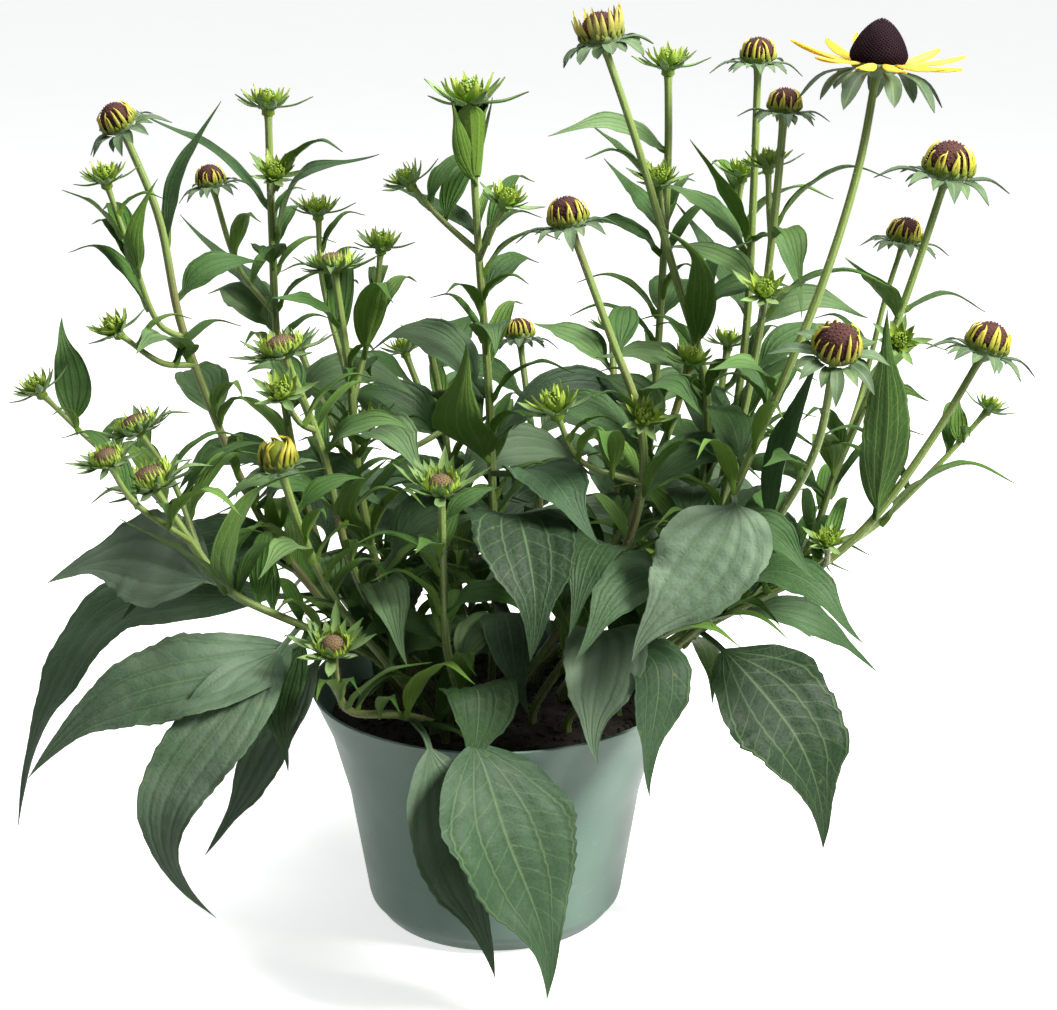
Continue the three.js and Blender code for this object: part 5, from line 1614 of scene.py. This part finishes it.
def build_shoot(shoot, index, looks, crowd, heads):
    """One shoot's own piece, and the pieces of its heads."""
    surface = Surface()
    tips = shoot_tips(shoot["name"])
    trunk = shoot_line(shoot)
    stems = [(trunk, STEM_RADIUS, shoot, index)]
    for k, side in enumerate(shoot.get("sides", [])):
        stems.append((side_line(side, trunk), SIDE_STEM_RADIUS, side, index + 100 * (k + 1)))
    for place, (line, radius, spec, number) in enumerate(stems):
        add_stem(surface, line, radius, number, (0.25, 0.8) if place == 0 else (0.6, 0.85))
        for leaf in specs_of(spec, 100 * number, line):
            found = matched(leaf, tips)
            if found is not None:
                add_leaf(surface, found, np.clip(1.15 - found.line.long / 90, 0, 0.9))
        showy = spec.get("head", {}).get("kind") in ("bloom", "half", "bud")
        last = 0.62 if showy else 0.86
        for leaf in slight_leaves(line, 11 + 100 * number, crowd, heads, last):
            add_leaf(surface, leaf, 0.9)
        if "sheath" in spec:
            add_sheath(surface, line, spec["sheath"])
        if "head" in spec:
            head = Head(spec["head"], line, number)
            add_head(surface, head)
            build_head_pieces(head, looks)
    settle(surface.made(shoot["name"] + "_growth", looks["growth"]), [shoot["name"]])


def build_head_pieces(head, looks):
    """The coloured disc and rays of a head that has them in the part, as pieces of their own."""
    name = head.spec.get("name")
    kind = head.spec["kind"]
    if name is None:
        return
    if kind == "bloom":
        settle(disc_piece(head).made("bloom_cone", [looks["disc"]]), ["bloom_disc"])
        settle(petal_piece(head).made("bloom_petals", [looks["petal"]]), ["bloom_rays"])
        return
    if name + "_disc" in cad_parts:
        look = looks["bud_disc" if kind in ("bud", "half") else "young_disc"]
        settle(disc_piece(head).made(name + "_florets", [look]), [name + "_disc"])
    if name + "_rays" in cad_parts:
        look = looks["half_ray" if kind == "half" else "curled_ray"]
        settle(ray_piece(head).made(name + "_ring", [look]), [name + "_rays"])


# The pot's outside as radius and height: its foot, the ends of the straight stretches of its side, with the
# rows in the stretch up to each, and its lip. Its floor has drain holes round it.
POT_FOOT = [(49, 0), (54.4, 0.3), (56, 1.9), (57.3, 4.2), (60.2, 7.4)]
POT_SIDE = [(60.9, 10, 0), (69, 62, 11), (77, 92, 6), (85.2, 111, 5)]
POT_LIP = [(85.7, 112.0), (85.9, 112.7), (85.5, 113), (84.6, 113), (84.2, 112.6), (84.0, 111.6)]
POT_FLOOR = 2.4
POT_SIDES = 128
DRAINS = {"count": 6, "ring": 33, "radius": 5.5, "sides": 20}

# How far out the soil's rough top reaches, its side and foot as radius and height, and the crumbs on it
SOIL_EDGE = 76.6
SOIL_SIDE = [(74.6, 92), (66.6, 62), (58.1, 8), (53.6, 2.8), (0.4, 2.8)]
CRUMB_EDGE = 74
CRUMBS = 900


def build_pot(looks):
    """The pot: a thin tapering wall with a rolled lip, a stepped foot and a floor with drain holes."""
    side = [POT_SIDE[0][:2]]
    for (r0, z0, _), (r1, z1, rows) in zip(POT_SIDE[:-1], POT_SIDE[1:]):
        side += [(r0 + (r1 - r0) * s, z0 + (z1 - z0) * s) for s in np.linspace(0, 1, rows + 1)[1:]]
    inside = [(r - POT_WALL, z) for r, z in reversed(side)]
    profile = POT_FOOT + side + POT_LIP + inside + [(56.5, 4.6), (54, POT_FLOOR)]
    sides = POT_SIDES
    angle = 2 * np.pi * np.arange(sides) / sides
    points = []
    for r, z in profile:
        # The rim of such a thin pot is a little out of round.
        round_ = 1 + 0.0022 * np.cos(2 * angle + 0.7) * z / POT_HEIGHT
        points += list(zip(r * round_ * np.cos(angle), r * round_ * np.sin(angle), np.full(sides, z)))
    faces = grid_faces(len(profile), sides, closed=True)
    piece = mesh_piece("pot_wall", np.array(points) * MM, faces, [looks["pot"]])
    add_floor(piece, sides)
    settle(piece, ["pot"])


def add_floor(piece, sides):
    """The pot's floor with its drain holes, joined to the wall."""
    work = bmesh.new()
    work.from_mesh(piece.data)
    work.verts.ensure_lookup_table()
    turns = 2 * np.pi * (np.arange(DRAINS["count"]) + 0.5) / DRAINS["count"]
    holes = [(DRAINS["ring"] * math.cos(a), DRAINS["ring"] * math.sin(a)) for a in turns]
    corners = DRAINS["sides"]
    low_edge = work.verts[:sides]
    high_edge = work.verts[len(work.verts) - sides:]
    levels = []
    for z, edge, way in ((0, low_edge, -1), (POT_FLOOR, high_edge, 1)):
        edges = []
        for k in range(sides):
            pair = (edge[k], edge[(k + 1) % sides])
            edges.append(work.edges.get(pair) or work.edges.new(pair))
        rings = []
        for hole in holes:
            points = circle(DRAINS["radius"], corners, hole)
            ring = [work.verts.new((x * MM, y * MM, z * MM)) for x, y in points]
            rings.append(ring)
            edges += [work.edges.new((ring[k], ring[(k + 1) % corners])) for k in range(corners)]
        levels.append(rings)
        bmesh.ops.triangle_fill(work, edges=edges, use_beauty=True, normal=(0, 0, way))
    for low, high in zip(*levels):
        for k in range(corners):
            work.faces.new((low[k], low[(k + 1) % corners], high[(k + 1) % corners], high[k]))
    bmesh.ops.recalc_face_normals(work, faces=work.faces)
    for face in work.faces:
        face.smooth = True
    work.to_mesh(piece.data)
    work.free()
    piece.data.set_sharp_from_angle(angle=math.radians(40))


def soil_height(x, y):
    """How high the soil stands, but for its finest crumbs."""
    height = SOIL_TOP - 1.6 + 1.2 * noise.noise((x / 16, y / 16, 3))
    return height + 1.1 * noise.noise((x / 5, y / 5, 8))


def build_soil(looks):
    """Soil that fills the pot to just under its rim, crumbly on top, packed round each stem."""
    feet = np.array([shoot["foot"] for shoot in SHOOTS], float)
    sides, rings = 120, 44
    points = []
    for k in range(rings, -1, -1):
        radius = SOIL_EDGE * (1 - k / rings) if k < rings else 0.4
        for x, y in circle(radius, sides):
            height = soil_height(x, y)
            height += 0.7 * noise.noise((x / 2.1, y / 2.1, 1)) - 0.6 * (radius / SOIL_EDGE) ** 8
            near = np.min(np.hypot(feet[:, 0] - x, feet[:, 1] - y))
            height += 1.3 * math.exp(-(near / 5) ** 2)
            points.append((x, y, height))
    points += [(x, y, z) for r, z in SOIL_SIDE for x, y in circle(r, sides)]
    faces = grid_faces(len(points) // sides, sides, closed=True, turned=True)
    piece = mesh_piece("soil_fill", np.array(points) * MM, faces, [looks["soil"]])
    settle(piece, ["soil"])


def build_crumbs(looks):
    """Crumbs that lie on the soil, in one piece."""
    rng = np.random.default_rng(17)
    surface = Surface()
    base = bmesh.new()
    bmesh.ops.create_icosphere(base, subdivisions=1, radius=1)
    ball = np.array([v.co for v in base.verts])
    faces = np.array([[v.index for v in f.verts] for f in base.faces])
    base.free()
    for _ in range(CRUMBS):
        radius = CRUMB_EDGE * math.sqrt(rng.random())
        a = rng.uniform(0, 2 * math.pi)
        x, y = radius * math.cos(a), radius * math.sin(a)
        size = rng.uniform(0.5, 1.9) * np.array([1, rng.uniform(0.5, 1), rng.uniform(0.4, 0.8)])
        turn = rng.uniform(0, 2 * math.pi)
        knob = ball * size * rng.uniform(0.75, 1.2, (len(ball), 1))
        c, s = math.cos(turn), math.sin(turn)
        knob = knob @ np.array([[c, s, 0], [-s, c, 0], [0, 0, 1]])
        surface.add(knob + (x, y, soil_height(x, y) + 0.3), faces, 0, tint=rng.random())
    piece = surface.made("soil_crumbs", [looks["soil"]])
    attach(piece, BODY)


def build_set(looks):
    """The camera at the photograph's angle, a plain pale floor and soft studio light."""
    camera = bpy.data.objects.new("camera", bpy.data.cameras.new("camera"))
    camera.location = EYE * MM
    camera.rotation_euler = (math.pi / 2 - TILT, 0, 0)
    camera.data.sensor_width = 36
    camera.data.lens = 36 * FOCAL / PICTURE[0]
    camera.data.clip_start = 0.01
    bpy.context.scene.collection.objects.link(camera)
    bpy.context.scene.camera = camera
    # The floor runs on past the view from any side. It throws no light back, which would flatten the shade.
    corners = [(-25, -25, 0), (25, -25, 0), (25, 25, 0), (-25, 25, 0)]
    floor = mesh_piece("floor", corners, [(0, 1, 2, 3)], [looks["floor"]])
    floor.visible_diffuse = False
    world = bpy.data.worlds.new("world")
    bpy.context.scene.world = world
    world.use_nodes = True
    world.node_tree.nodes["Background"].inputs["Color"].default_value = (0.95, 0.98, 1, 1)
    world.node_tree.nodes["Background"].inputs["Strength"].default_value = 0.32
    bpy.context.scene.view_settings.view_transform = "Standard"
    # Each lamp's name, place, size, power and colour
    lights = [
        ("key", (0.85, -0.4, 1.05), 0.4, 41, (1, 0.98, 0.95)),
        ("top", (0.0, 0.25, 1.35), 0.6, 16, (1, 1, 1)),
    ]
    for name, place, size, power, colour in lights:
        lamp = bpy.data.lights.new(name, "AREA")
        lamp.size = size
        lamp.energy = power
        lamp.color = colour
        thing = bpy.data.objects.new(name, lamp)
        thing.location = place
        thing.rotation_euler = (Vector((0, 0, 0.18)) - Vector(place)).to_track_quat("-Z", "Y").to_euler()
        bpy.context.scene.collection.objects.link(thing)


def main():
    looks = {
        "growth": [
            leaf_look("leaf_top", True),
            leaf_look("leaf_under", False),
            stem_look(),
            bract_look(),
            hair_look(),
            young_look("young_green", srgb(96, 140, 24), srgb(172, 196, 80)),
        ],
        "curled_ray": young_look("curled_ray", srgb(98, 126, 20), srgb(208, 196, 66)),
        "half_ray": young_look("half_ray", srgb(98, 122, 24), srgb(198, 190, 96)),
        "petal": petal_look(),
        "disc": disc_look("disc", False),
        "bud_disc": disc_look("bud_disc", True),
        "young_disc": young_disc_look(),
        "pot": pot_look(),
        "soil": soil_look(),
        "floor": floor_look(),
    }
    build_set(looks)
    build_pot(looks)
    build_soil(looks)
    build_crumbs(looks)
    crowd = whole_crowd()
    stems = [spec for shoot in SHOOTS for spec in [shoot, *shoot.get("sides", [])]]
    heads = [seen(spec["tip"]) for spec in stems if "head" in spec]
    for index, shoot in enumerate(SHOOTS):
        build_shoot(shoot, index, looks, crowd, heads)


main()
